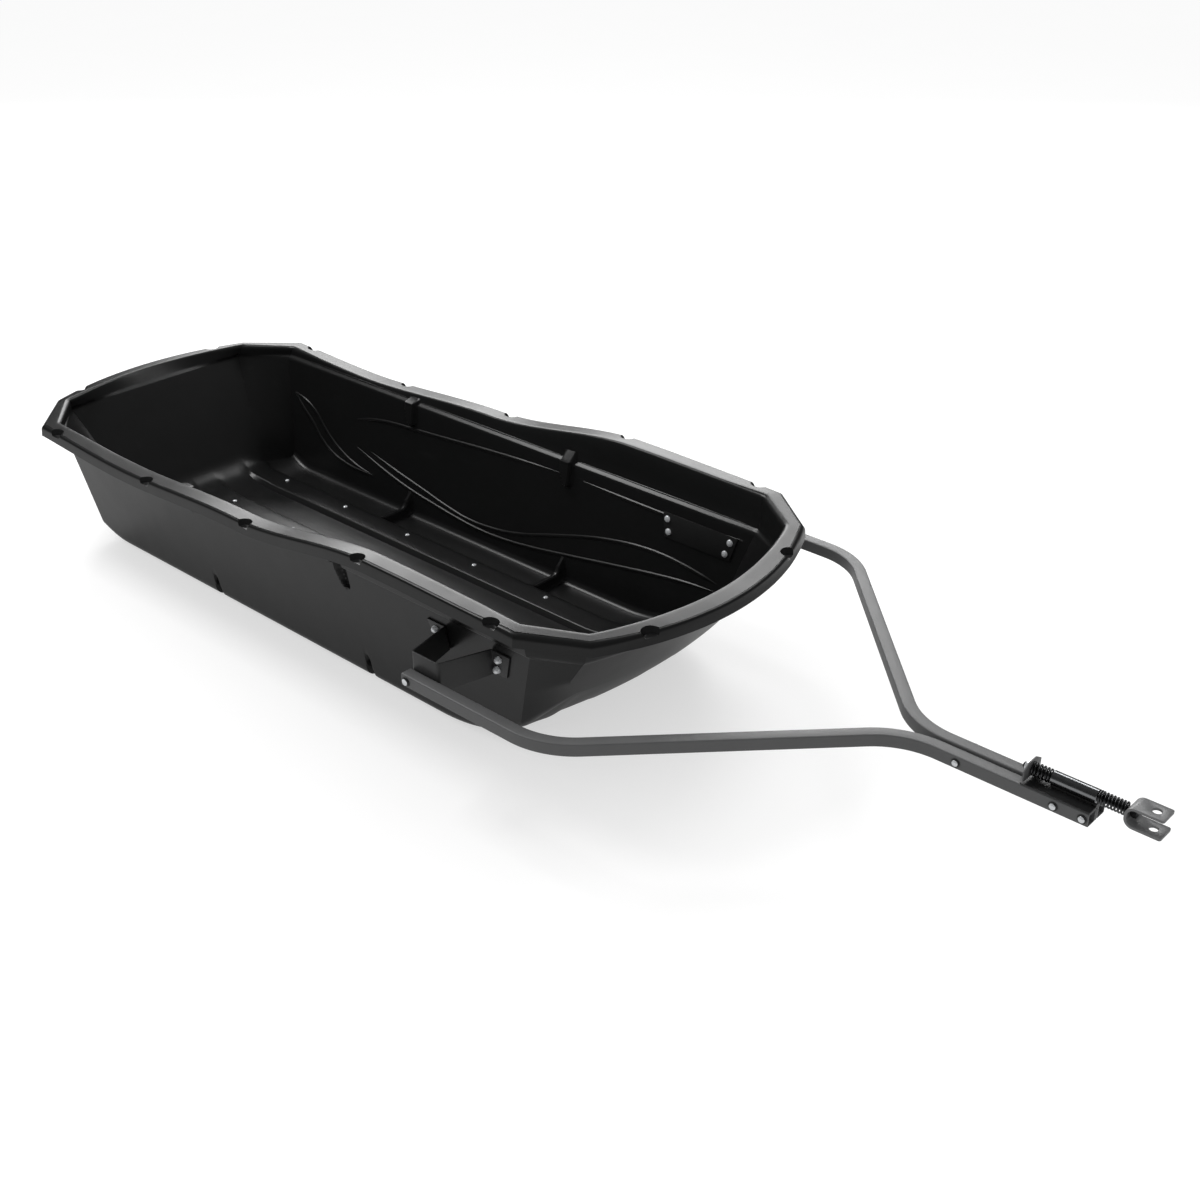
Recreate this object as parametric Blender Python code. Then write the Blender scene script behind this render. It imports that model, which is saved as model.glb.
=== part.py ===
"""Utility sled: a moulded tray on runner bars, with a hinged wishbone tow bar and a sprung hitch.

Lengths are in metres. In the hull's own frame X runs forward from the stern rim, Y to the sled's
left and Z up from the ground. One empty shifts everything so that the origin lies under the
middle of the whole sled.
"""
import math

import bmesh
import bpy
from mathutils import Matrix, Vector

# Tray: outline at the rim
HULL_LENGTH = 1.935
RIM_HALF_WIDTH = 0.394
RIM_HALF_INNER = 0.353
RIM_TAPER = 0.0075
RIM_STERN_TUCK = 0.010
RIM_TUCK_SPAN = (0.20, HULL_LENGTH - 0.635)
SHEET = 0.006
LIP_DROP = 0.026
LIP_FLARE = 0.003
RIM_EDGE = 0.0045
STERN_RIM = 0.032
STERN_BEND = 0.70
BOW_RIM = 0.044
BOW_BEND = 0.80
STERN_SHEER = ((0.05, 0.314), (0.48, 0.299), (0.92, 0.320))
BOW_SHEER = ((0.575, 0.371), (0.235, 0.367), (-0.005, 0.352))
SHEER = STERN_SHEER + tuple((HULL_LENGTH - aft, z) for aft, z in BOW_SHEER)
# Corners of the rim's edges in plan: (station on the side, half width on the end)
STERN_RIM_INNER = (0.183, 0.257)
STERN_RIM_OUTER = (0.166, 0.276)
BOW_RIM_INNER = (HULL_LENGTH - 0.216, 0.287)
BOW_RIM_OUTER = (HULL_LENGTH - 0.196, 0.316)

# Tray: floor, its raised bands and the sweeps up to the end walls
GROUND_GAP = 0.003
FLOOR_Z = GROUND_GAP + SHEET
FLOOR_HALF = 0.283
FILLET = 0.007
FILLET_WAIST = 0.22
BAND_RISE = 0.027
DECK_RISE = 0.015
KEEL_BAND_HALF = 0.030
SIDE_BAND_MIDDLE = 0.1565
SIDE_BAND_HALF = 0.0305
BAND_SLOPE = 0.010
BAND_FADE_START = 0.15
STERN_START = 0.338
STERN_RADIUS = 0.165
STERN_ANGLE = math.radians(56.0)
STERN_TUCK = 0.034
BOW_START = HULL_LENGTH - 0.522
BOW_RADIUS = 0.394
BOW_ANGLE = math.radians(57.0)
BOW_FLOOR_BEND = 0.42
BOW_BEND_GROWTH = 0.70
BOW_BEND_HALF = 0.280
BOW_BEND_REACH = 0.25

# Tray: side walls, ledge, corner facets and pressed-in stiffeners
WALL_SLOPE = 0.169
# Heights of the lines round the tray, as shares of the way from the floor to the ledge
FILLET_LINE = 0.020
DENT_FOOT_LINE = 0.060
DENT_TOP_LINE = 0.21
WAIST_LINE = 0.48
NOTCH_FOOT_LINE = 0.75
NOTCH_LINE = 0.865
LEDGE_Z = 0.283
LEDGE_CLIMB = 0.0055
LEDGE_WIDTH = 0.010
LEDGE_RISE = 0.006
STERN_LEDGE = 0.007
BOW_LEDGE = 0.005
STERN_FACET_FOOT = 0.222
STERN_FACET_LEAN = 0.18
STERN_FACET_HALF = 0.1935
STERN_FACET_SPREAD = 0.27
BOW_FACET_FOOT = HULL_LENGTH - 0.279
BOW_FACET_LEAN = 0.33
BOW_FACET_HALF = 0.250
BOW_FACET_TOP_HALF = 0.287
BOW_FACET_FLARE = 0.5
SIDE_FIXED = (0.45, HULL_LENGTH - 0.615)
FLOOR_HUG = 0.12
DENTS = (0.680, HULL_LENGTH - 0.730)
DENT_HALF = 0.014
DENT_CROWN = 0.006
DENT_DEPTH = 0.012
DENT_BRIDGE = 0.022
DENT_EASE = 0.75
DENT_TOP_SPREAD = 2.0
DENT_TOP_BACK = 0.018

# Tie-down pockets round the rim
POCKET_RADIUS = 0.020
POCKET_FOOT = 0.013
POCKET_DEPTH = 0.015
POCKET_WALL = 0.0045
POCKET_FIRST = 0.225
POCKET_LAST = HULL_LENGTH - 0.256
POCKETS_A_SIDE = 5
POCKET_STEP = (POCKET_LAST - POCKET_FIRST) / (POCKETS_A_SIDE - 1)
POCKET_CLEAR = 0.008
STERN_POCKET = 0.195
BOW_POCKET = 0.206

# Runner bars under the floor, and their screws
BAR_HALF = 0.014
BAR_START = 0.320
BAR_END = BOW_START - 0.043
BAR_TIP = 0.016
BAR_ROW = 0.165
BAR_GAP = 0.0008
SCREW_FIRST = 0.345
SCREWS_A_ROW = 5
SCREW_STEP = (BAR_END - 0.0982 - SCREW_FIRST) / (SCREWS_A_ROW - 1)
SCREW_RADIUS = 0.0025
SCREW_HEAD = 0.0055
SCREW_DOME = 0.003
SCREW_GRIP = 0.018

# Tow arms: square tube, bent in plan
TUBE = 0.0254
TUBE_WALL = 0.002
TUBE_CORNER = 0.003
ARM_Z = 0.227
ARM_HALF_TRACK = 0.467
PIVOT_X = HULL_LENGTH - 0.3905
ARM_TAIL = 0.0127
ARM_STRAIGHT = 0.3333
ARM_SPLAY = math.radians(45.87)
ARM_BEND = 0.160
HEAD_GAP = 0.0072
HEAD_TRACK = (HEAD_GAP + TUBE) / 2
NECK_X = PIVOT_X + ARM_STRAIGHT + (ARM_HALF_TRACK - HEAD_TRACK) / math.tan(ARM_SPLAY)
ARM_END = NECK_X + 0.3505
ARM_TOP = ARM_Z + TUBE / 2

# Brackets, backing plates and their bolts
BRACKET_SHEET = 0.0035
BRACKET_SKEW = 0.0125
BRACKET_REAR = PIVOT_X - 0.0875
BRACKET_FRONT = PIVOT_X + 0.1355
BRACKET_SHEAR = 0.018
LEG_REAR = PIVOT_X - 0.0375
LEG_FRONT = PIVOT_X + 0.0855
CROWN_BEHIND = 0.0085
CROWN_AHEAD = 0.0575
CROWN_LOW = 0.214
CROWN_HIGH = 0.2765
FLANGE_LOW = 0.2065
FLANGE_HIGH = 0.2615
PLATE_SHEET = 0.003
PLATE_TOP = (PIVOT_X - 0.0785, PIVOT_X + 0.1245)
PLATE_FOOT = (PIVOT_X - 0.0685, PIVOT_X + 0.1115)
UPPER_BOLTS = (PIVOT_X - 0.0645, PIVOT_X + 0.1065)
LOWER_BOLTS = (PIVOT_X - 0.0575, PIVOT_X + 0.0975)
UPPER_BOLT_Z = 0.2475
LOWER_BOLT_Z = 0.2205
BOLT_RADIUS = 0.0038
BOLT_HEAD = 0.0078
BOLT_DOME = 0.0042
NUT_RADIUS = 0.0078
NUT_HEIGHT = 0.0062
NUT_DOME = 0.0045
NUT_SHOULDER = 0.55
NUT_CROWN = 0.92
THREAD_SHARE = 0.8

# Pivot and head bolts of the tow bar
PIVOT_RADIUS = 0.005
PIVOT_HEAD = 0.0095
PIVOT_DOME = 0.005
PIVOT_NUT = 0.0098
PIVOT_NUT_HEIGHT = 0.007
PIVOT_TAIL = 0.002
WASHER_SHEET = 0.0012
WASHER_RADIUS = 0.0085
HEAD_DOME_RADIUS = 0.0064
HEAD_BOLTS = (ARM_END - 0.243, ARM_END - 0.0617, ARM_END - 0.0104)
SPACER_RADIUS = 0.009

# Hitch: carrier, sleeve, sprung draw rod and clevis
ROD_Z = 0.260
ROD_RADIUS = 0.0063
CARRIER_START = ARM_END - 0.1245
CARRIER_HALF = 0.0285
CARRIER_SHEET = 0.003
CARRIER_CUT = 0.02
WEB_START = ARM_END - 0.1055
SADDLE_HALF = 0.006
SLEEVE_START = ARM_END - 0.082
SLEEVE_LENGTH = 0.0809
SLEEVE_RADIUS = 0.0122
SLEEVE_BORE = 0.0071
REAR_SPRING_LENGTH = 0.037
FRONT_SPRING_LENGTH = 0.052
SPRING_WIRE = 0.0034
SPRING_MEAN = 0.0108
REAR_TURNS = 5
FRONT_TURNS = 7
POINTS_A_TURN = 9
RETAINER_SHEET = 0.003
RETAINER_HALF = 0.0285
RETAINER_RISE = 0.0165
RETAINER_DROP = 0.0140
RETAINER_CHAMFER = 0.017
RETAINER_SLOPE = 0.6
ROD_CHAMFER = 0.0015
ROD_HEAD = 0.0095
ROD_NUT = 0.0105
ROD_HEAD_HEIGHT = 0.0075
ROD_NUT_HEIGHT = 0.0085
ROD_TAIL = 0.004
CLEVIS_SHEET = 0.0045
CLEVIS_HALF = 0.020
CLEVIS_RISE = 0.0193
CLEVIS_BEND = 0.0165
CLEVIS_LENGTH = 0.064
CLEVIS_CORNER = 0.010
PIN_BACK = 0.0205
PIN_RADIUS = 0.00795

# Clearances
SEAT = 0.0003
FREE = 0.0006

OVERALL = SLEEVE_START + SLEEVE_LENGTH + FRONT_SPRING_LENGTH + CLEVIS_LENGTH

MATERIALS = {
    "hull_black": ((0.022, 0.022, 0.023), 0.55, 0.0),
    "bar_black": ((0.015, 0.015, 0.016), 0.60, 0.0),
    "frame_grey": ((0.075, 0.075, 0.078), 0.45, 0.3),
    "dark_steel": ((0.010, 0.010, 0.011), 0.50, 0.2),
    "zinc": ((0.62, 0.63, 0.65), 0.28, 1.0),
    "spring_steel": ((0.16, 0.16, 0.17), 0.32, 0.9),
    "clevis_grey": ((0.17, 0.17, 0.18), 0.42, 0.5),
}


def clear_scene():
    for obj in list(bpy.data.objects):
        bpy.data.objects.remove(obj, do_unlink=True)


def material(name):
    found = bpy.data.materials.get(name)
    if found:
        return found
    colour, rough, metal = MATERIALS[name]
    made = bpy.data.materials.new(name)
    made.use_nodes = True
    shader = made.node_tree.nodes["Principled BSDF"]
    shader.inputs["Base Color"].default_value = (*colour, 1.0)
    shader.inputs["Roughness"].default_value = rough
    shader.inputs["Metallic"].default_value = metal
    made.diffuse_color = (*colour, 1.0)
    return made


def axis_empty(name, place, parent=None):
    """An empty on a joint's axis, or at the sled's origin, that carries what moves with it."""
    empty = bpy.data.objects.new(name, None)
    bpy.context.collection.objects.link(empty)
    empty.parent = parent
    empty.location = place
    return empty


def add_object(name, shape, look, home):
    """Link a mesh or curve drawn in the hull's frame under the empty that carries it."""
    obj = bpy.data.objects.new(name, shape)
    bpy.context.collection.objects.link(obj)
    obj.data.materials.append(material(look))
    obj.parent = home
    obj.location = -hull_place(home)
    if isinstance(shape, bpy.types.Mesh):
        shape.shade_smooth()
        shape.set_sharp_from_angle(angle=math.radians(32.0))
    return obj


def place_copies(name, profile, sides, look, home, spots, hollow=False):
    """Objects that share one turned mesh, each at its own spot in the hull's frame."""
    bm = bmesh.new()
    turned(bm, profile, sides, hollow=hollow)
    mesh = to_mesh(bm, name)
    for i, spot in enumerate(spots, 1):
        label = name if len(spots) == 1 else f"{name}_{i}"
        obj = add_object(label, mesh, look, home) if i == 1 else bpy.data.objects.new(label, mesh)
        if i > 1:
            bpy.context.collection.objects.link(obj)
            obj.parent = home
        obj.matrix_local = Matrix.Translation(-hull_place(home)) @ spot


def hull_place(home):
    """Where an empty lies in the hull's frame."""
    place = Vector((0.0, 0.0, 0.0))
    while home.parent:
        place += home.location
        home = home.parent
    return place


def to_mesh(bm, name):
    bmesh.ops.recalc_face_normals(bm, faces=bm.faces)
    mesh = bpy.data.meshes.new(name)
    bm.to_mesh(mesh)
    bm.free()
    return mesh


def box(bm, low, high):
    """Add an axis-aligned block between two corners."""
    low, high = Vector(low), Vector(high)
    size = high - low
    spot = Matrix.Translation((low + high) / 2) @ Matrix.Diagonal((*size, 1.0))
    return bmesh.ops.create_cube(bm, size=1.0, matrix=spot)["verts"]


def prism(bm, outline, depth, spot=Matrix()):
    """Add a solid: an outline in its own XY plane, extruded along Z by depth."""
    foot = [bm.verts.new(spot @ Vector((x, y, 0.0))) for x, y in outline]
    top = [bm.verts.new(spot @ Vector((x, y, depth))) for x, y in outline]
    bm.faces.new(foot[::-1])
    bm.faces.new(top)
    for i, a in enumerate(foot):
        b = foot[(i + 1) % len(foot)]
        bm.faces.new((a, b, top[(i + 1) % len(foot)], top[i]))
    return foot + top


def hexagon(radius, turn):
    """Distance from the middle of a hexagon to its edge, in a direction."""
    sector = math.pi / 3
    return radius * math.cos(sector / 2) / math.cos((turn % sector) - sector / 2)


def turned(bm, profile, sides, spot=Matrix(), hollow=False):
    """Add a solid turned about its own Z axis from (radius, height) or (radius, height, "hex") points."""
    rings = []
    for radius, height, *form in profile:
        if radius == 0.0:
            rings.append([bm.verts.new(spot @ Vector((0.0, 0.0, height)))])
            continue
        ring = []
        for i in range(sides):
            turn = 2.0 * math.pi * (i + 0.5) / sides
            reach = hexagon(radius, turn) if form else radius
            point = Vector((reach * math.cos(turn), reach * math.sin(turn), height))
            ring.append(bm.verts.new(spot @ point))
        rings.append(ring)
    pairs = list(zip(rings[:-1], rings[1:]))
    if hollow:
        pairs.append((rings[-1], rings[0]))
    for low, high in pairs:
        for i in range(sides):
            j = (i + 1) % sides
            if len(low) == 1:
                bm.faces.new((low[0], high[j], high[i]))
            elif len(high) == 1:
                bm.faces.new((low[i], low[j], high[0]))
            else:
                bm.faces.new((low[i], low[j], high[j], high[i]))
    if not hollow:
        for ring, flip in ((rings[0], True), (rings[-1], False)):
            if len(ring) > 1:
                bm.faces.new(ring[::-1] if flip else ring)


def along(place, direction):
    """A frame at a place whose Z axis points along a direction."""
    turn = Vector((0.0, 0.0, 1.0)).rotation_difference(Vector(direction))
    return Matrix.Translation(Vector(place)) @ turn.to_matrix().to_4x4()


def cutter(name, bm, home):
    obj = bpy.data.objects.new(name, to_mesh(bm, name))
    bpy.context.collection.objects.link(obj)
    obj.parent = home
    obj.location = -hull_place(home)
    obj.hide_render = True
    obj.display_type = "WIRE"
    return obj


def boolean(obj, tool, operation="DIFFERENCE"):
    modifier = obj.modifiers.new(f"{tool.name}_{operation.lower()}", "BOOLEAN")
    modifier.object = tool
    modifier.operation = operation
    modifier.solver = "EXACT"


def smooth_step(t):
    t = min(max(t, 0.0), 1.0)
    return t * t * (3.0 - 2.0 * t)


# The tray

def sheer(x):
    """Height of the rim's top at a station, eased between the sheer line's own points."""
    x = min(max(x, SHEER[0][0]), SHEER[-1][0])
    for (xa, za), (xb, zb) in zip(SHEER[:-1], SHEER[1:]):
        if x <= xb:
            return za + (zb - za) * smooth_step((x - xa) / (xb - xa))
    return SHEER[-1][1]


def sweep(x):
    """How far the floor has risen at a station: an arc at each end, then a straight wall."""
    for start, radius, angle, run in (
        (STERN_START, STERN_RADIUS, STERN_ANGLE, STERN_START - x),
        (BOW_START, BOW_RADIUS, BOW_ANGLE, x - BOW_START),
    ):
        if run <= 0.0:
            continue
        end = radius * math.sin(angle)
        if run <= end:
            return radius - math.sqrt(radius * radius - run * run)
        return radius * (1.0 - math.cos(angle)) + (run - end) * math.tan(angle)
    return 0.0


def end_wall_x(z, bow):
    """The station where an end wall, above its arc, reaches a height."""
    start, radius, angle, way = (
        (BOW_START, BOW_RADIUS, BOW_ANGLE, 1.0) if bow else (STERN_START, STERN_RADIUS, STERN_ANGLE, -1.0)
    )
    arc_top = FLOOR_Z + radius * (1.0 - math.cos(angle))
    return start + way * (radius * math.sin(angle) + (z - arc_top) / math.tan(angle))


def band_rise(y):
    """Height of the raised bands and the deck between them above the side channels."""
    y = abs(y)
    outer = SIDE_BAND_MIDDLE + SIDE_BAND_HALF
    inner = SIDE_BAND_MIDDLE - SIDE_BAND_HALF
    for edge, before, after in (
        (KEEL_BAND_HALF, BAND_RISE, DECK_RISE),
        (inner - BAND_SLOPE, DECK_RISE, BAND_RISE),
        (outer, BAND_RISE, 0.0),
    ):
        if y <= edge:
            return before
        if y < edge + BAND_SLOPE:
            return before + (after - before) * (y - edge) / BAND_SLOPE
    return 0.0


def bow_shift(y, z):
    """How far the bow is bowed forward in plan, at a height above the ground."""
    bend = BOW_FLOOR_BEND + BOW_BEND_GROWTH * z
    return bend * (BOW_BEND_HALF * BOW_BEND_HALF - y * y)


def foot_rise(x):
    """How far the floor has risen beside a side wall, where the stern's sweep starts later."""
    return sweep(x + STERN_TUCK if x < STERN_START else x)


def band_fade(x):
    """The bands die out towards the top of each sweep."""
    stern = (STERN_START - x) / (STERN_RADIUS * math.sin(STERN_ANGLE))
    bow = (x - BOW_START) / (BOW_RADIUS * math.sin(BOW_ANGLE))
    return 1.0 - smooth_step((max(stern, bow) - BAND_FADE_START) / (1.0 - BAND_FADE_START))


def wall_y(z):
    """Half width of the tray's inner wall at a height, below the ledge."""
    return FLOOR_HALF + WALL_SLOPE * (z - FLOOR_Z)


def ledge_z(x):
    return LEDGE_Z + LEDGE_CLIMB * x / HULL_LENGTH


def dent(x):
    """1 on the crown of a pressed-in stiffener, 0 beside it."""
    return 1.0 if any(abs(x - middle) < (DENT_HALF + DENT_CROWN) / 2 for middle in DENTS) else 0.0


def rim_side(x, outer):
    """Half width of the rim's inner or outer edge: it narrows a little towards the stern."""
    if outer:
        aft, fore = RIM_TUCK_SPAN
        return RIM_HALF_WIDTH - RIM_STERN_TUCK * min(max((fore - x) / (fore - aft), 0.0), 1.0)
    return RIM_HALF_INNER - RIM_TAPER * (BOW_RIM_INNER[0] - x)


def rim_end(y, bow, outer):
    """Station of the rim's inner or outer edge across an end, bowed in plan."""
    if bow:
        return HULL_LENGTH - LIP_FLARE - (0.0 if outer else BOW_RIM) - BOW_BEND * y * y
    return LIP_FLARE + (0.0 if outer else STERN_RIM) + STERN_BEND * y * y


def floor_rows():
    """Y of the floor's lengthwise lines, from the sled's right to its left."""
    inner = SIDE_BAND_MIDDLE - SIDE_BAND_HALF
    outer = SIDE_BAND_MIDDLE + SIDE_BAND_HALF
    half = [KEEL_BAND_HALF, KEEL_BAND_HALF + BAND_SLOPE, inner - BAND_SLOPE, inner]
    half += [outer, outer + BAND_SLOPE, FLOOR_HALF - FILLET]
    return [-y for y in reversed(half)] + [0.0] + half


def floor_columns():
    """Stations of the floor's crosswise lines: (on the centreline, along the side walls)."""
    columns = []
    steps = 5
    for i in range(steps):
        share = 1.0 - i / steps
        middle = STERN_START - STERN_RADIUS * math.sin(STERN_ANGLE * share)
        side = STERN_START - (STERN_START - STERN_FACET_FOOT) * (1.0 - max(i - 1, 0) / (steps - 1))
        columns.append((middle, side))
    flat = [STERN_START, SIDE_FIXED[0], (SIDE_FIXED[0] + DENTS[0]) / 2]
    for middle in DENTS:
        flat += [middle - DENT_HALF, middle - DENT_CROWN, middle + DENT_CROWN, middle + DENT_HALF]
        if middle == DENTS[0]:
            gap = (DENTS[1] - DENTS[0]) / 4
            flat += [middle + gap, middle + 2 * gap, middle + 3 * gap]
    flat += [SIDE_FIXED[1], BOW_START]
    columns += [(x, x) for x in flat]
    steps = 7
    for i in range(1, steps + 1):
        middle = BOW_START + BOW_RADIUS * math.sin(BOW_ANGLE * i / steps)
        side = BOW_START + (BOW_FACET_FOOT - BOW_START) * min(i, steps - 1) / (steps - 1)
        columns.append((middle, side))
    return columns


class Level:
    """One closed line round the tray, from the floor's edge up to the lip."""

    def __init__(self, rise, fillet=0.0, dent_in=0.0, dent_up=0.0, spread=False):
        self.rise = rise
        self.fillet = fillet
        self.dent_in = dent_in
        self.dent_up = dent_up
        self.spread = spread

    def side(self, x, foot_x):
        """The point on a side wall; rise is the share of the way from the floor to the ledge."""
        base = FLOOR_Z + foot_rise(foot_x)
        z = base + (ledge_z(x) - base) * self.rise
        push = dent(foot_x)
        for middle in DENTS:
            if self.spread and abs(foot_x - middle) < 1.5 * DENT_HALF:
                x += (foot_x - middle) * (DENT_TOP_SPREAD - 1.0) - DENT_TOP_BACK
        return Vector((x, wall_y(z) - self.fillet - self.dent_in * push, z + self.dent_up * push))

    def facet_x(self, bow):
        """Station of the upright line between a side wall and a corner facet."""
        start, lean = (BOW_FACET_FOOT, BOW_FACET_LEAN) if bow else (STERN_FACET_FOOT, -STERN_FACET_LEAN)
        foot = FLOOR_Z + foot_rise(start)
        return start + lean * (ledge_z(start) - foot) * self.rise

    def end_z(self, bow):
        radius, angle = (BOW_RADIUS, BOW_ANGLE) if bow else (STERN_RADIUS, STERN_ANGLE)
        arc_top = FLOOR_Z + radius * (1.0 - math.cos(angle))
        return arc_top + (ledge_z(HULL_LENGTH if bow else 0.0) - arc_top) * self.rise

    def facet_half(self, bow):
        """Half width of the end wall, at the upright line beside the corner facet."""
        if bow:
            flare = min(self.rise / BOW_FACET_FLARE, 1.0)
            return BOW_FACET_HALF + (BOW_FACET_TOP_HALF - BOW_FACET_HALF) * flare
        return STERN_FACET_HALF + STERN_FACET_SPREAD * (self.end_z(False) - Level(0.0).end_z(False))

    def end(self, y, bow):
        z = self.end_z(bow)
        return Vector((end_wall_x(z, bow) + (bow_shift(y, z) if bow else 0.0), y, z))


class Rim:
    """A closed line on the rim: its inner edge, its rounded outer edge or the lip's foot."""

    def __init__(self, outer, inset=0.0, drop=0.0, ledge=0.0):
        self.outer = outer
        self.inset = inset
        self.drop = drop
        self.ledge = ledge

    def height(self, x):
        return sheer(x) - self.drop

    def side(self, x, foot_x):
        return Vector((x, rim_side(x, self.outer) - self.inset, self.height(x)))

    def corner(self, bow):
        if self.outer:
            return BOW_RIM_OUTER if bow else STERN_RIM_OUTER
        return BOW_RIM_INNER if bow else STERN_RIM_INNER

    def facet_x(self, bow):
        return self.corner(bow)[0]

    def facet_half(self, bow):
        return self.corner(bow)[1]

    def end(self, y, bow):
        x = rim_end(y, bow, self.outer) + (-self.inset if bow else self.inset)
        return Vector((x, y, self.height(x)))


class Ledge(Level):
    """The outer edge of the ledge below the rim; the bow has no ledge."""

    def side(self, x, foot_x):
        point = super().side(x, foot_x)
        point.y += LEDGE_WIDTH
        point.z += LEDGE_RISE
        return point

    def end(self, y, bow):
        point = super().end(y, bow)
        point.z += LEDGE_RISE
        point.x += BOW_LEDGE if bow else -STERN_LEDGE
        return point


def tray_levels():
    return [
        Level(0.0, FILLET, DENT_DEPTH, DENT_BRIDGE),
        Level(FILLET_LINE, FILLET * FILLET_WAIST, DENT_DEPTH, DENT_BRIDGE),
        Level(DENT_FOOT_LINE, 0.0, DENT_DEPTH, DENT_BRIDGE * DENT_EASE),
        Level(DENT_TOP_LINE),
        Level(WAIST_LINE),
        Level(NOTCH_FOOT_LINE),
        Level(NOTCH_LINE, dent_in=DENT_DEPTH, spread=True),
        Level(1.0, dent_in=DENT_DEPTH, spread=True),
        Ledge(1.0, dent_in=DENT_DEPTH + LEDGE_WIDTH, spread=True),
        Rim(False),
        Rim(True, inset=RIM_EDGE),
        Rim(True, drop=RIM_EDGE),
        Rim(True, inset=-LIP_FLARE, drop=LIP_DROP),
    ]


def level_point(level, rows, columns, c, r):
    """The point of a level that continues the floor grid's boundary point (c, r) upwards."""
    last_c, last_r = len(columns) - 1, len(rows) - 1
    sign = 1.0 if rows[r] > 0.0 else -1.0
    fixed_low, fixed_high = SIDE_FIXED

    def side_point(column):
        foot = columns[column][1]
        x = foot
        if foot < fixed_low:
            share = (fixed_low - foot) / (fixed_low - STERN_FACET_FOOT)
            x = foot + (level.facet_x(False) - STERN_FACET_FOOT) * share
        elif foot > fixed_high:
            share = (foot - fixed_high) / (BOW_FACET_FOOT - fixed_high)
            x = foot + (level.facet_x(True) - BOW_FACET_FOOT) * share
        point = level.side(x, foot)
        return Vector((point.x, point.y * sign, point.z))

    def end_point(row, bow):
        share = rows[row] / rows[-2]
        return level.end(share * level.facet_half(bow), bow)

    on_side = r in (0, last_r)
    on_end = c in (0, last_c)
    if on_side and on_end:
        bow = c == last_c
        next_c = last_c - 1 if bow else 1
        next_r = 1 if r == 0 else last_r - 1
        return (side_point(next_c) + end_point(next_r, bow)) / 2
    if on_side:
        return side_point(c)
    return end_point(r, c == last_c)


def floor_point(rows, columns, c, r):
    """A point of the floor inside its boundary; the grid spreads with the walls at each end."""
    middle, side = columns[c]
    row = rows[r]
    hug = smooth_step((abs(row) - FLOOR_HUG) / (rows[-1] - FLOOR_HUG))
    x = middle + (side - middle) * hug
    spread, shift = 1.0, 0.0
    rise = sweep(x)
    if x < STERN_START:
        rise += (foot_rise(x) - rise) * hug
    if x > BOW_START:
        reach = smooth_step((x - BOW_START) / (BOW_RADIUS * math.sin(BOW_ANGLE)))
        spread = 1.0 + (BOW_FACET_HALF / rows[-2] - 1.0) * reach
        shift = bow_shift(row * spread, FLOOR_Z + rise) * min(reach / BOW_BEND_REACH, 1.0)
    z = FLOOR_Z + rise + band_rise(row) * band_fade(x)
    if r in (1, len(rows) - 2):
        z += DENT_BRIDGE * dent(x)
    return Vector((x + shift, row * spread, z))


def tray_sheet():
    """The tray's upper surface as one open sheet, floor first and lip last."""
    rows, columns = floor_rows(), floor_columns()
    last_c, last_r = len(columns) - 1, len(rows) - 1
    edge = [(c, 0) for c in range(last_c + 1)]
    edge += [(last_c, r) for r in range(1, last_r + 1)]
    edge += [(c, last_r) for c in range(last_c - 1, -1, -1)]
    edge += [(0, r) for r in range(last_r - 1, 0, -1)]
    bm = bmesh.new()
    levels = tray_levels()
    rings = []
    for level in levels:
        rings.append([bm.verts.new(level_point(level, rows, columns, c, r)) for c, r in edge])
    grid = {place: vert for place, vert in zip(edge, rings[0])}
    for c in range(1, last_c):
        for r in range(1, last_r):
            grid[c, r] = bm.verts.new(floor_point(rows, columns, c, r))
    for c in range(last_c):
        for r in range(last_r):
            bm.faces.new((grid[c, r], grid[c + 1, r], grid[c + 1, r + 1], grid[c, r + 1]))
    for low, high in zip(rings[:-1], rings[1:]):
        for i in range(len(edge)):
            j = (i + 1) % len(edge)
            bm.faces.new((low[j], low[i], high[i], high[j]))
    mesh = bpy.data.meshes.new("hull")
    bm.to_mesh(mesh)
    bm.free()
    return mesh


def pocket_places():
    """(x, y, outward direction) of every tie-down pocket on the rim's outer edge."""
    places = []
    for sign in (-1.0, 1.0):
        for i in range(POCKETS_A_SIDE):
            x = POCKET_FIRST + POCKET_STEP * i
            places.append((x, sign * rim_side(x, True), Vector((0.0, sign, 0.0))))
        for y, bow, bend in ((STERN_POCKET, False, STERN_BEND), (BOW_POCKET, True, BOW_BEND)):
            out = Vector((1.0 if bow else -1.0, sign * 2.0 * bend * y, 0.0)).normalized()
            places.append((rim_end(y, bow, True), sign * y, out))
    return places


def half_disc(radius, sides=6):
    """Outline of a half disc that bulges along -X."""
    points = []
    for i in range(sides + 1):
        turn = math.pi / 2 + math.pi * i / sides
        points.append((radius * math.cos(turn), radius * math.sin(turn)))
    return points


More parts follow.
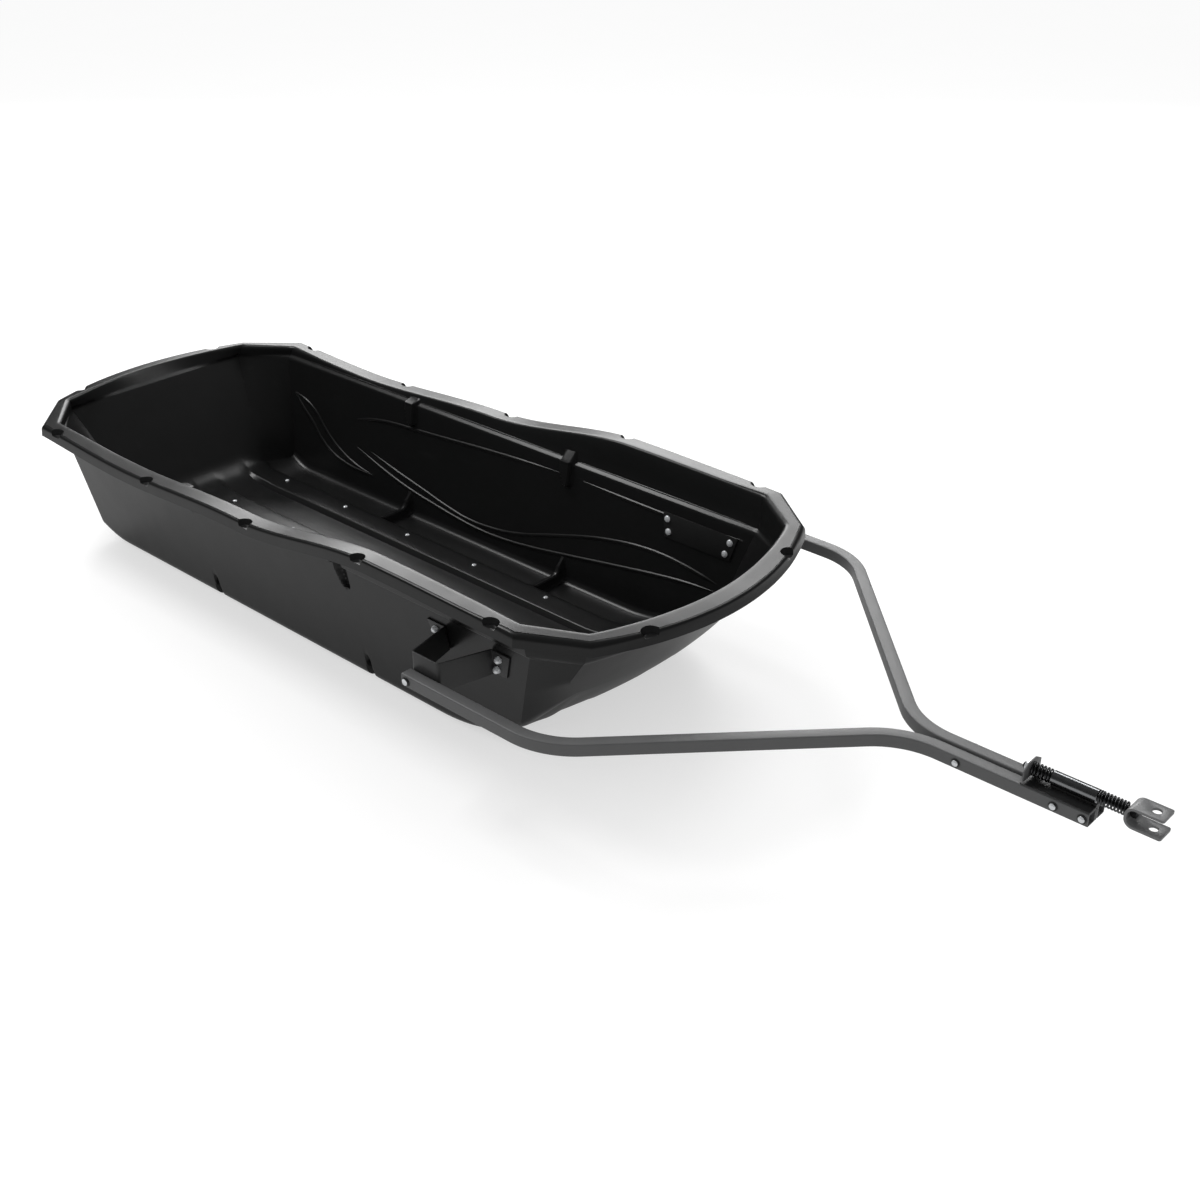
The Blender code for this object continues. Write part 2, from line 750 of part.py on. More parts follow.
def add_pockets(hull, home):
    """Cups moulded under the rim, each then hollowed from above and from outside."""
    cups, hollows = bmesh.new(), bmesh.new()
    for x, y, out in pocket_places():
        top = sheer(x)
        side = Vector((0.0, 0.0, 1.0)).cross(out)
        turn = Matrix((out, side, (0.0, 0.0, 1.0))).transposed().to_4x4()
        cup_top = top - SHEET / 2
        spot = Matrix.Translation((x, y, cup_top)) @ turn
        wide, narrow = POCKET_RADIUS + POCKET_WALL, POCKET_FOOT + POCKET_WALL
        depth = POCKET_DEPTH + POCKET_WALL - SHEET / 2
        rim = [cups.verts.new(spot @ Vector((px - SHEET / 2, py, 0.0))) for px, py in half_disc(wide)]
        foot = [cups.verts.new(spot @ Vector((px - SHEET / 2, py, -depth))) for px, py in half_disc(narrow)]
        cups.faces.new(rim)
        cups.faces.new(foot[::-1])
        for i, a in enumerate(rim):
            j = (i + 1) % len(rim)
            cups.faces.new((a, foot[i], foot[j], rim[j]))
        slope = (POCKET_RADIUS - POCKET_FOOT) / POCKET_DEPTH
        profile = ((POCKET_FOOT, -POCKET_DEPTH), (POCKET_RADIUS + slope * POCKET_CLEAR, POCKET_CLEAR))
        turned(hollows, profile, 12, Matrix.Translation((x, y, top)) @ turn)
    boolean(hull, cutter("pocket_cups", cups, home), "UNION")
    boolean(hull, cutter("pocket_hollows", hollows, home))


def screw_places():
    return [(SCREW_FIRST + SCREW_STEP * i, y) for y in (-BAR_ROW, 0.0, BAR_ROW) for i in range(SCREWS_A_ROW)]


def bracket_bolts(sign):
    """(x, z) of a side's bracket bolts: the two brackets sit a little out of line."""
    rows = ((UPPER_BOLTS, UPPER_BOLT_Z), (LOWER_BOLTS, LOWER_BOLT_Z))
    return [(x + sign * BRACKET_SKEW, z) for stations, z in rows for x in stations]


def outer_wall(x, z, sign):
    """A frame on the tray's outer side wall: its Z axis points out, its Y axis up the wall."""
    out = Vector((0.0, sign, -WALL_SLOPE)).normalized()
    ahead = Vector((1.0, 0.0, 0.0))
    up = out.cross(ahead)
    if up.z < 0.0:
        ahead, up = -ahead, -up
    skin = SHEET / math.cos(math.atan(WALL_SLOPE))
    turn = Matrix((ahead, up, out)).transposed().to_4x4()
    return Matrix.Translation((x, sign * (wall_y(z) + skin), z)) @ turn


def make_hull(home):
    hull = add_object("hull", tray_sheet(), "hull_black", home)
    shell = hull.modifiers.new("sheet", "SOLIDIFY")
    shell.thickness = SHEET
    shell.offset = -1.0
    shell.use_even_offset = True
    shell.use_rim = True
    add_pockets(hull, home)
    holes = bmesh.new()
    for x, y in screw_places():
        top = FLOOR_Z + BAND_RISE
        turned(holes, ((SCREW_RADIUS + FREE, -2.0 * SHEET), (SCREW_RADIUS + FREE, SHEET)), 8,
               Matrix.Translation((x, y, top)))
    for sign in (-1.0, 1.0):
        for x, z in bracket_bolts(sign):
            turned(holes, ((BOLT_RADIUS + FREE, -3.0 * SHEET), (BOLT_RADIUS + FREE, SHEET)), 8,
                   outer_wall(x, z, sign))
    boolean(hull, cutter("hull_holes", holes, home))
    return hull


def make_runner_bars(home):
    """Plastic bars that fill the bands' undersides and carry the sled on the snow."""
    top = FLOOR_Z + BAND_RISE - SHEET - BAR_GAP
    holes = bmesh.new()
    for x, y in screw_places():
        turned(holes, ((SCREW_RADIUS + FREE, -SCREW_GRIP - FREE), (SCREW_RADIUS + FREE, 0.005)), 8,
               Matrix.Translation((x, y, top)))
    tool = cutter("bar_holes", holes, home)
    outline = ((BAR_START, top), (BAR_START, BAR_TIP), (BAR_START + BAR_TIP, 0.0), (BAR_END - BAR_TIP, 0.0),
               (BAR_END, BAR_TIP), (BAR_END, top))
    for name, y in (("right", -BAR_ROW), ("center", 0.0), ("left", BAR_ROW)):
        bm = bmesh.new()
        spot = Matrix.Translation((0.0, y + BAR_HALF, 0.0)) @ Matrix.Rotation(math.radians(90.0), 4, "X")
        prism(bm, outline, 2.0 * BAR_HALF, spot)
        bar = add_object(f"runner_bar_{name}", to_mesh(bm, name), "bar_black", home)
        boolean(bar, tool)


def dome_profile(shank, length, head, dome, steps=3):
    """Profile of a dome-headed bolt: the shank's foot first, the crown last, seat at height 0."""
    profile = [(shank, -length), (shank, 0.0), (head, 0.0)]
    for i in range(1, steps):
        turn = math.pi / 2 * i / steps
        profile.append((head * math.cos(turn), dome * math.sin(turn)))
    return profile + [(0.0, dome)]


def cap_nut_profile(bore, radius, height, dome, steps=3):
    """Profile of a domed cap nut over a blind bore, seat at height 0."""
    blind, shoulder = height + 3.0 * SEAT, height * NUT_SHOULDER
    profile = [(0.0, blind), (bore, blind), (bore, 0.0), (radius, 0.0), (radius, shoulder)]
    for i in range(1, steps):
        turn = math.pi / 2 * i / steps
        crown = shoulder + (height - shoulder + dome) * math.sin(turn)
        profile.append((radius * NUT_CROWN * math.cos(turn), crown))
    return profile + [(0.0, height + dome)]


def make_floor_screws(home):
    profile = dome_profile(SCREW_RADIUS, SHEET + SCREW_GRIP, SCREW_HEAD, SCREW_DOME)
    seat = FLOOR_Z + BAND_RISE + SEAT
    for name, row in (("right", -BAR_ROW), ("center", 0.0), ("left", BAR_ROW)):
        spots = [Matrix.Translation((x, y, seat)) for x, y in screw_places() if y == row]
        place_copies(f"floor_screw_{name}", profile, 8, "zinc", home, spots)


def crown_face():
    """Half track of a bracket's outer face, which the arm's tail swings beside."""
    return ARM_HALF_TRACK - TUBE / 2 - FREE


def make_bracket(side, sign, home):
    """A strip bent into a hat: two flanges on the tray's wall, two legs and a crown beside the arm."""
    skin = SHEET / math.cos(math.atan(WALL_SLOPE)) + SEAT
    crown = crown_face() - BRACKET_SHEET
    shift = sign * BRACKET_SKEW
    flange = (
        (BRACKET_REAR, BRACKET_SHEAR), (LEG_REAR, 0.0), (LEG_FRONT, 0.0), (BRACKET_FRONT, -BRACKET_SHEAR),
    )
    bm = bmesh.new()
    pairs = []
    for x, shear in flange:
        low = Vector((x + shift + shear, sign * (wall_y(FLANGE_LOW) + skin), FLANGE_LOW))
        high = Vector((x + shift, sign * (wall_y(FLANGE_HIGH) + skin), FLANGE_HIGH))
        pairs.append((bm.verts.new(low), bm.verts.new(high)))
    for i, x in ((2, PIVOT_X - CROWN_BEHIND), (3, PIVOT_X + CROWN_AHEAD)):
        low, high = Vector((x, sign * crown, CROWN_LOW)), Vector((x, sign * crown, CROWN_HIGH))
        pairs.insert(i, (bm.verts.new(low), bm.verts.new(high)))
    for (a, b), (c, d) in zip(pairs[:-1], pairs[1:]):
        bm.faces.new((a, c, d, b) if sign < 0.0 else (c, a, b, d))
    mesh = bpy.data.meshes.new(f"arm_bracket_{side}")
    bm.to_mesh(mesh)
    bm.free()
    bracket = add_object(f"arm_bracket_{side}", mesh, "frame_grey", home)
    strip = bracket.modifiers.new("strip", "SOLIDIFY")
    strip.thickness = BRACKET_SHEET
    strip.offset = 1.0
    strip.use_even_offset = True
    holes = bmesh.new()
    for x, z in bracket_bolts(sign):
        turned(holes, ((BOLT_RADIUS + FREE, -BRACKET_SHEET), (BOLT_RADIUS + FREE, 3.0 * BRACKET_SHEET)), 8,
               outer_wall(x, z, sign))
    spot = along((PIVOT_X, sign * (crown - 0.01), ARM_Z), (0.0, sign, 0.0))
    turned(holes, ((PIVOT_RADIUS + FREE, 0.0), (PIVOT_RADIUS + FREE, 0.03)), 12, spot)
    boolean(bracket, cutter(f"bracket_holes_{side}", holes, home))


def inner_wall(x, z, sign, lift=0.0):
    """A frame on the tray's inner side wall: its Z axis points into the tray."""
    frame = outer_wall(x, z, sign)
    return frame @ Matrix.Translation((0.0, 0.0, -SHEET - lift)) @ Matrix.Rotation(math.pi, 4, "Y")


def make_backing_plate(side, sign, home):
    """A flat trapezoid on the inner wall that spreads the bracket bolts' load."""
    bm = bmesh.new()
    middle_x = (PLATE_TOP[0] + PLATE_TOP[1]) / 2 + sign * BRACKET_SKEW
    middle_z = (FLANGE_LOW + FLANGE_HIGH) / 2
    half = (FLANGE_HIGH - FLANGE_LOW) / 2
    frame = inner_wall(middle_x, middle_z, sign, SEAT)
    flip = 1.0 if frame.to_3x3().col[0].x > 0.0 else -1.0
    outline = [(flip * (x + sign * BRACKET_SKEW - middle_x), y) for x, y in (
        (PLATE_FOOT[0], -half), (PLATE_FOOT[1], -half), (PLATE_TOP[1], half), (PLATE_TOP[0], half))]
    prism(bm, outline, PLATE_SHEET, frame)
    plate = add_object(f"backing_plate_{side}", to_mesh(bm, side), "dark_steel", home)
    holes = bmesh.new()
    for x, z in bracket_bolts(sign):
        turned(holes, ((BOLT_RADIUS + FREE, -PLATE_SHEET), (BOLT_RADIUS + FREE, 3.0 * PLATE_SHEET)), 8,
               inner_wall(x, z, sign))
    boolean(plate, cutter(f"plate_holes_{side}", holes, home))


def make_bracket_bolts(side, sign, home):
    """Dome-headed bolts from inside the tray, with cap nuts on the bracket's flanges."""
    grip = PLATE_SHEET + SHEET + BRACKET_SHEET + 4.0 * SEAT
    seats = [inner_wall(x, z, sign, 2.0 * SEAT + PLATE_SHEET) for x, z in bracket_bolts(sign)]
    profile = dome_profile(BOLT_RADIUS, grip + NUT_HEIGHT * THREAD_SHARE, BOLT_HEAD, BOLT_DOME)
    place_copies(f"bracket_bolt_{side}", profile, 8, "zinc", home, seats)
    lift = Matrix.Translation((0.0, 0.0, BRACKET_SHEET + 2.0 * SEAT))
    seats = [outer_wall(x, z, sign) @ lift for x, z in bracket_bolts(sign)]
    profile = cap_nut_profile(BOLT_RADIUS + FREE, NUT_RADIUS, NUT_HEIGHT, NUT_DOME)
    place_copies(f"bracket_nut_{side}", profile, 8, "zinc", home, seats)


# The tow bar

def filleted(points, radius, steps=7):
    """A plan path whose inner corners are rounded to a radius."""
    path = [points[0]]
    for before, corner, after in zip(points[:-2], points[1:-1], points[2:]):
        a, b = (before - corner).normalized(), (after - corner).normalized()
        half = a.angle(b) / 2
        middle = corner + (a + b).normalized() * radius / math.sin(half)
        first = corner + a * radius / math.tan(half) - middle
        last = corner + b * radius / math.tan(half) - middle
        sweep_angle = first.angle(last)
        turn_sign = 1.0 if first.cross(last).z > 0.0 else -1.0
        for i in range(steps + 1):
            turn = Matrix.Rotation(turn_sign * sweep_angle * i / steps, 3, "Z")
            path.append(middle + turn @ first)
    return path + [points[-1]]


def arm_path(sign):
    """Centreline of an arm: straight past the tray, splayed in to the middle, then the head."""
    tail = PIVOT_X - ARM_TAIL
    elbow = PIVOT_X + ARM_STRAIGHT
    corners = [(tail, ARM_HALF_TRACK), (elbow, ARM_HALF_TRACK), (NECK_X, HEAD_TRACK), (ARM_END, HEAD_TRACK)]
    return filleted([Vector((x, sign * y, ARM_Z)) for x, y in corners], ARM_BEND)


def square_section(half, corner):
    """Outline of a square tube with clipped corners, as (sideways, up) points."""
    cut = half - corner
    quarter = [(cut, -half), (half, -cut), (half, cut), (cut, half)]
    return quarter + [(-u, -v) for u, v in quarter]


def make_tow_arm(side, sign, home):
    path = arm_path(sign)
    bm = bmesh.new()
    tubes = []
    for half, corner in ((TUBE / 2, TUBE_CORNER), (TUBE / 2 - TUBE_WALL, TUBE_CORNER - TUBE_WALL / 2)):
        rings = []
        for i, point in enumerate(path):
            back = (point - path[i - 1]).normalized() if i else (path[1] - point).normalized()
            ahead = (path[i + 1] - point).normalized() if i + 1 < len(path) else back
            way = (back + ahead).normalized()
            across = Vector((-way.y, way.x, 0.0)) / way.dot(back)
            section = square_section(half, corner)
            rings.append([bm.verts.new(point + across * u + Vector((0.0, 0.0, v))) for u, v in section])
        tubes.append(rings)
    for rings in tubes:
        for low, high in zip(rings[:-1], rings[1:]):
            for i in range(len(low)):
                j = (i + 1) % len(low)
                bm.faces.new((low[i], low[j], high[j], high[i]))
    for end in (0, -1):
        outer, inner = tubes[0][end], tubes[1][end]
        for i in range(len(outer)):
            j = (i + 1) % len(outer)
            bm.faces.new((outer[i], outer[j], inner[j], inner[i]))
    arm = add_object(f"tow_arm_{side}", to_mesh(bm, side), "frame_grey", home)
    holes = bmesh.new()
    spot = along((PIVOT_X, sign * (ARM_HALF_TRACK - TUBE), ARM_Z), (0.0, sign, 0.0))
    turned(holes, ((PIVOT_RADIUS + FREE, 0.0), (PIVOT_RADIUS + FREE, 2.0 * TUBE)), 12, spot)
    for x in HEAD_BOLTS:
        spot = along((x, sign * (HEAD_TRACK - TUBE), ARM_Z), (0.0, sign, 0.0))
        turned(holes, ((BOLT_RADIUS + FREE, 0.0), (BOLT_RADIUS + FREE, 2.0 * TUBE)), 8, spot)
    boolean(arm, cutter(f"arm_holes_{side}", holes, home))


def ring_profile(inner, outer, height):
    return ((inner, 0.0), (outer, 0.0), (outer, height), (inner, height))


def nut_profile(bore, radius, height):
    """Profile of a hexagonal nut with a round bore, for a hollow turning."""
    return ((bore, 0.0), (radius, 0.0, "hex"), (radius, height, "hex"), (bore, height))


def make_pivot(side, sign, home):
    """The bolt that an arm swings on, with its head outside and its nut inside the bracket."""
    outer = ARM_HALF_TRACK + TUBE / 2 + SEAT
    inner = crown_face() - BRACKET_SHEET - SEAT
    length = outer - inner + PIVOT_NUT_HEIGHT + PIVOT_TAIL
    spot = along((PIVOT_X, sign * outer, ARM_Z), (0.0, sign, 0.0))
    profile = dome_profile(PIVOT_RADIUS, length, PIVOT_HEAD, PIVOT_DOME)
    place_copies(f"pivot_bolt_{side}", profile, 12, "zinc", home, [spot])
    spot = along((PIVOT_X, sign * (inner - PIVOT_NUT_HEIGHT), ARM_Z), (0.0, sign, 0.0))
    profile = nut_profile(PIVOT_RADIUS + FREE, PIVOT_NUT, PIVOT_NUT_HEIGHT)
    place_copies(f"pivot_nut_{side}", profile, 12, "zinc", home, [spot], hollow=True)


def make_head_bolts(home):
    """Three bolts that clamp the arms' heads together; heads and cap nuts have a washer face."""
    seat = HEAD_TRACK + TUBE / 2 + SEAT
    washer = [(WASHER_RADIUS, 0.0), (WASHER_RADIUS, WASHER_SHEET)]
    head = dome_profile(BOLT_RADIUS, 2.0 * seat + NUT_HEIGHT * THREAD_SHARE, HEAD_DOME_RADIUS, BOLT_DOME)
    head = head[:2] + washer + [(radius, height + WASHER_SHEET) for radius, height in head[2:]]
    spots = [along((x, -seat, ARM_Z), (0.0, -1.0, 0.0)) for x in HEAD_BOLTS]
    place_copies("head_bolt", head, 8, "zinc", home, spots)
    nut = cap_nut_profile(BOLT_RADIUS + FREE, HEAD_DOME_RADIUS, NUT_HEIGHT, NUT_DOME)
    nut = nut[:3] + washer + [(HEAD_DOME_RADIUS, WASHER_SHEET)] + nut[4:]
    spots = [along((x, seat, ARM_Z), (0.0, 1.0, 0.0)) for x in HEAD_BOLTS]
    place_copies("head_nut", nut, 8, "zinc", home, spots)


def make_arm_spacer(home):
    """The bush that keeps the arms apart at the rearmost head bolt."""
    half = HEAD_GAP / 2 - SEAT
    spot = along((HEAD_BOLTS[0], -half, ARM_Z), (0.0, 1.0, 0.0))
    profile = ring_profile(BOLT_RADIUS + FREE, SPACER_RADIUS, 2.0 * half)
    place_copies("arm_spacer", profile, 12, "dark_steel", home, [spot], hollow=True)


def make_carrier(home):
    """The hitch's base: a plate on the arms' tops, a web between the arms and a saddle above."""
    plate_low = ARM_TOP + SEAT
    plate_high = plate_low + CARRIER_SHEET
    saddle_top = ROD_Z - SLEEVE_RADIUS - SEAT
    web = HEAD_GAP / 2 - SEAT
    web_low = ARM_Z - TUBE / 2
    outline = [
        (web, web_low), (web, plate_low), (CARRIER_HALF, plate_low), (CARRIER_HALF, plate_high),
        (SADDLE_HALF, plate_high), (SADDLE_HALF, saddle_top),
    ]
    section = [(-y, z) for y, z in outline] + [(y, z) for y, z in reversed(outline)]
    bm = bmesh.new()
    turn = Matrix(((0.0, 0.0, 1.0), (1.0, 0.0, 0.0), (0.0, 1.0, 0.0))).to_4x4()
    prism(bm, section, ARM_END - CARRIER_START, Matrix.Translation((CARRIER_START, 0.0, 0.0)) @ turn)
    carrier = add_object("hitch_carrier", to_mesh(bm, "carrier"), "dark_steel", home)
    cuts = bmesh.new()
    over = CARRIER_CUT
    box(cuts, (CARRIER_START - over, -web - over, web_low - over), (WEB_START, web + over, plate_low))
    box(cuts, (CARRIER_START - over, -SADDLE_HALF - over, plate_high),
        (SLEEVE_START, SADDLE_HALF + over, saddle_top + over))
    for x in HEAD_BOLTS[1:]:
        spot = along((x, -2.0 * HEAD_GAP, ARM_Z), (0.0, 1.0, 0.0))
        turned(cuts, ((BOLT_RADIUS + FREE, 0.0), (BOLT_RADIUS + FREE, 4.0 * HEAD_GAP)), 8, spot)
    boolean(carrier, cutter("carrier_cuts", cuts, home))


def rod_spot(x):
    return along((x, 0.0, ROD_Z), (1.0, 0.0, 0.0))


def make_sleeve(home):
    profile = ring_profile(SLEEVE_BORE, SLEEVE_RADIUS, SLEEVE_LENGTH)
    place_copies("hitch_sleeve", profile, 12, "zinc", home, [rod_spot(SLEEVE_START)], hollow=True)


def retainer_front():
    return SLEEVE_START - REAR_SPRING_LENGTH


def clevis_back():
    return SLEEVE_START + SLEEVE_LENGTH + FRONT_SPRING_LENGTH


def make_draw_rod(home):
    """The long bolt through the sleeve: its head bears in the clevis's bend, its nut on the retainer."""
    nut = retainer_front() - RETAINER_SHEET - SEAT - ROD_NUT_HEIGHT
    tail = nut - ROD_TAIL
    bend = CLEVIS_BEND - CLEVIS_SHEET
    off_middle = ROD_HEAD - (CLEVIS_RISE - CLEVIS_BEND)
    inside = clevis_back() + CLEVIS_BEND - math.sqrt(bend * bend - off_middle * off_middle)
    seat = inside + 2.0 * SEAT - tail
    profile = ((ROD_RADIUS - ROD_CHAMFER, 0.0), (ROD_RADIUS, ROD_CHAMFER), (ROD_RADIUS, seat),
               (ROD_HEAD, seat, "hex"), (ROD_HEAD, seat + ROD_HEAD_HEIGHT, "hex"))
    place_copies("draw_rod", profile, 12, "spring_steel", home, [rod_spot(tail)])
    profile = nut_profile(ROD_RADIUS + FREE, ROD_NUT, ROD_NUT_HEIGHT)
    place_copies("rod_nut", profile, 12, "zinc", home, [rod_spot(nut)], hollow=True)


def make_retainer(home):
    """A plate on the rod's tail, just over the arms so that the rod can't turn."""
    low, high = -RETAINER_DROP, RETAINER_RISE
    cut = RETAINER_CHAMFER
    shoulder = high - cut * RETAINER_SLOPE
    outline = [(-RETAINER_HALF, low), (RETAINER_HALF, low), (RETAINER_HALF, shoulder),
               (RETAINER_HALF - cut, high), (-RETAINER_HALF + cut, high), (-RETAINER_HALF, shoulder)]
    turn = Matrix(((0.0, 0.0, 1.0), (1.0, 0.0, 0.0), (0.0, 1.0, 0.0))).to_4x4()
    bm = bmesh.new()
    back = Matrix.Translation((retainer_front() - RETAINER_SHEET, 0.0, ROD_Z))
    prism(bm, outline, RETAINER_SHEET, back @ turn)
    plate = add_object("retainer_plate", to_mesh(bm, "retainer"), "frame_grey", home)
    hole = bmesh.new()
    reach = 2.0 * RETAINER_SHEET
    turned(hole, ((ROD_RADIUS + FREE, -reach), (ROD_RADIUS + FREE, reach)), 12, rod_spot(retainer_front()))
    boolean(plate, cutter("retainer_hole", hole, home))


def spring_points(start, end, turns):
    """Centreline of a round-wire spring on the rod: a helix with a short straight run at each end."""
    first, last = start + SPRING_WIRE / 2 + SEAT, end - SPRING_WIRE / 2 - SEAT
    count = turns * POINTS_A_TURN
    helix = []
    for i in range(count + 1):
        turn = 2.0 * math.pi * i / POINTS_A_TURN
        x = first + (last - first) * i / count
        helix.append(Vector((x, SPRING_MEAN * math.cos(turn), ROD_Z + SPRING_MEAN * math.sin(turn))))
    lead_in = helix[0] + Vector((0.0, 0.0, -SPRING_WIRE))
    lead_out = helix[-1] + Vector((0.0, 0.0, SPRING_WIRE))
    return [lead_in] + helix + [lead_out]


def self_gap(points, wire):
    """Least gap between two turns of a wire, measured on points along it."""
    fine = []
    for a, b in zip(points[:-1], points[1:]):
        fine += [a.lerp(b, k / 4) for k in range(4)]
    apart = POINTS_A_TURN * 2
    pairs = ((a, b) for i, a in enumerate(fine) for b in fine[i + apart:])
    return min((a - b).length for a, b in pairs) - wire


def make_spring(name, start, end, turns, home):
    points = spring_points(start, end, turns)
    curve = bpy.data.curves.new(name, "CURVE")
    curve.dimensions = "3D"
    curve.bevel_depth = SPRING_WIRE / 2
    curve.bevel_resolution = 1
    curve.use_fill_caps = True
    spline = curve.splines.new("POLY")
    spline.points.add(len(points) - 1)
    for knot, point in zip(spline.points, points):
        knot.co = (*point, 1.0)
    add_object(name, curve, "spring_steel", home)
    print(f"{name}: least gap to itself {self_gap(points, SPRING_WIRE) * 1000:.2f} mm")


def make_clevis(home):
    """A strip bent to a U round the tow hitch's tongue, with a pin hole through both ears."""
    back, nose = clevis_back(), clevis_back() + CLEVIS_LENGTH
    steps = 4

    def corner(radius, low):
        """Quarter round at a rear corner of the U, as (x, z) from the rod's axis."""
        points = []
        for i in range(steps + 1):
            turn = math.pi / 2 * i / steps
            x = back + CLEVIS_BEND - radius * math.sin(turn)
            z = CLEVIS_RISE - CLEVIS_BEND + radius * math.cos(turn)
            points.append((x, -z if low else z))
        return points

    outer_top, outer_low = corner(CLEVIS_BEND, False), corner(CLEVIS_BEND, True)
    inner_top = corner(CLEVIS_BEND - CLEVIS_SHEET, False)
    inner_low = corner(CLEVIS_BEND - CLEVIS_SHEET, True)
    inside = CLEVIS_RISE - CLEVIS_SHEET
    outline = [(nose, CLEVIS_RISE)] + outer_top + outer_low[::-1] + [(nose, -CLEVIS_RISE), (nose, -inside)]
    outline += inner_low + inner_top[::-1] + [(nose, inside)]
    bm = bmesh.new()
    spot = Matrix.Translation((0.0, CLEVIS_HALF, ROD_Z)) @ Matrix.Rotation(math.radians(90.0), 4, "X")
    prism(bm, outline, 2.0 * CLEVIS_HALF, spot)
    clevis = add_object("clevis", to_mesh(bm, "clevis"), "clevis_grey", home)
    plan = bmesh.new()
    r = CLEVIS_CORNER
    over = 0.01
    shape = [(back - over, -CLEVIS_HALF - over), (nose - r, -CLEVIS_HALF - over), (nose - r, -CLEVIS_HALF)]
    for i in range(1, steps + 1):
        turn = math.pi / 2 * i / steps
        shape.append((nose - r + r * math.sin(turn), -CLEVIS_HALF + r - r * math.cos(turn)))
    shape = shape + [(x, -y) for x, y in reversed(shape)]
    prism(plan, shape, 4.0 * CLEVIS_RISE, Matrix.Translation((0.0, 0.0, ROD_Z - 2.0 * CLEVIS_RISE)))
    boolean(clevis, cutter("clevis_plan", plan, home), "INTERSECT")
    holes = bmesh.new()
    reach = 2.0 * CLEVIS_RISE
    pin = Matrix.Translation((nose - PIN_BACK, 0.0, ROD_Z))
    turned(holes, ((PIN_RADIUS, -reach), (PIN_RADIUS, reach)), 16, pin)
    bore = ROD_RADIUS + FREE
    turned(holes, ((bore, -CLEVIS_SHEET), (bore, 2.0 * CLEVIS_SHEET)), 12, rod_spot(back))
    boolean(clevis, cutter("clevis_holes", holes, home))


def main():
    clear_scene()
    sled = axis_empty("sled_origin", (-OVERALL / 2, 0.0, 0.0))
    pivot = axis_empty("tow_pivot", (PIVOT_X, 0.0, ARM_Z), sled)
    draw = axis_empty("draw_axis", (clevis_back() - PIVOT_X, 0.0, ROD_Z - ARM_Z), pivot)
    make_hull(sled)
    make_runner_bars(sled)
    make_floor_screws(sled)
    for side, sign in (("right", -1.0), ("left", 1.0)):
        make_backing_plate(side, sign, sled)
        make_bracket(side, sign, sled)
        make_bracket_bolts(side, sign, sled)
        make_pivot(side, sign, sled)
        make_tow_arm(side, sign, pivot)
    make_head_bolts(pivot)
    make_arm_spacer(pivot)
    make_carrier(pivot)
    make_sleeve(pivot)
    make_spring("rear_spring", retainer_front(), SLEEVE_START, REAR_TURNS, pivot)
    make_spring("front_spring", SLEEVE_START + SLEEVE_LENGTH, clevis_back(), FRONT_TURNS, pivot)
    make_draw_rod(draw)
    make_retainer(draw)
    make_clevis(draw)
    bpy.context.view_layer.update()


main()
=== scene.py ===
import math
from functools import lru_cache

import bmesh
import bpy
from bmesh.types import BMEdge, BMesh, BMFace, BMVert
from mathutils import Matrix, Vector


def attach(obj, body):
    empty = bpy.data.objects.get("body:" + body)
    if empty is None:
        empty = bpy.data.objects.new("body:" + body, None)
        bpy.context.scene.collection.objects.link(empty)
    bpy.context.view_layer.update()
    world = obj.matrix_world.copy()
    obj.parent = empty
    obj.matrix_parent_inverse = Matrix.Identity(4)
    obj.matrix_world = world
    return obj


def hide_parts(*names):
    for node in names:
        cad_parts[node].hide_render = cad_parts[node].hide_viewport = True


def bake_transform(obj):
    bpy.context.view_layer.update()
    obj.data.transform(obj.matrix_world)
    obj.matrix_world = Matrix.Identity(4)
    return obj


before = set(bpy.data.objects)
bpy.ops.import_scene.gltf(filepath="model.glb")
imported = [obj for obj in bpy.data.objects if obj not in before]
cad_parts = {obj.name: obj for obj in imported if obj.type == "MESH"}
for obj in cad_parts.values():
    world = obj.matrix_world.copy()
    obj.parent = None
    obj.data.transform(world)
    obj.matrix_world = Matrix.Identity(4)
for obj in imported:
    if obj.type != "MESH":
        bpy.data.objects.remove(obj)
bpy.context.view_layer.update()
print("frame loaded:", len(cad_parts), "solids")

# Lengths are in metres. Pieces are drawn with x running forward from the tub's stern rim
# and are moved back by half the sled's length when they are finished.
halfSled = 1.39021
clear = 0.0003  # left between two solids that touch


# Node materials


class Signal:
    # a socket that can be used in Python expressions
    def __init__(self, graph, socket):
        self.graph, self.socket = graph, socket

    def maths(self, operation, first, second):
        return self.graph.add("ShaderNodeMath", {"operation": operation}, {0: first, 1: second})

    def __add__(self, other):
        return self.maths("ADD", self, other)

    def __mul__(self, other):
        return self.maths("MULTIPLY", self, other)

    __radd__ = __add__
    __rmul__ = __mul__


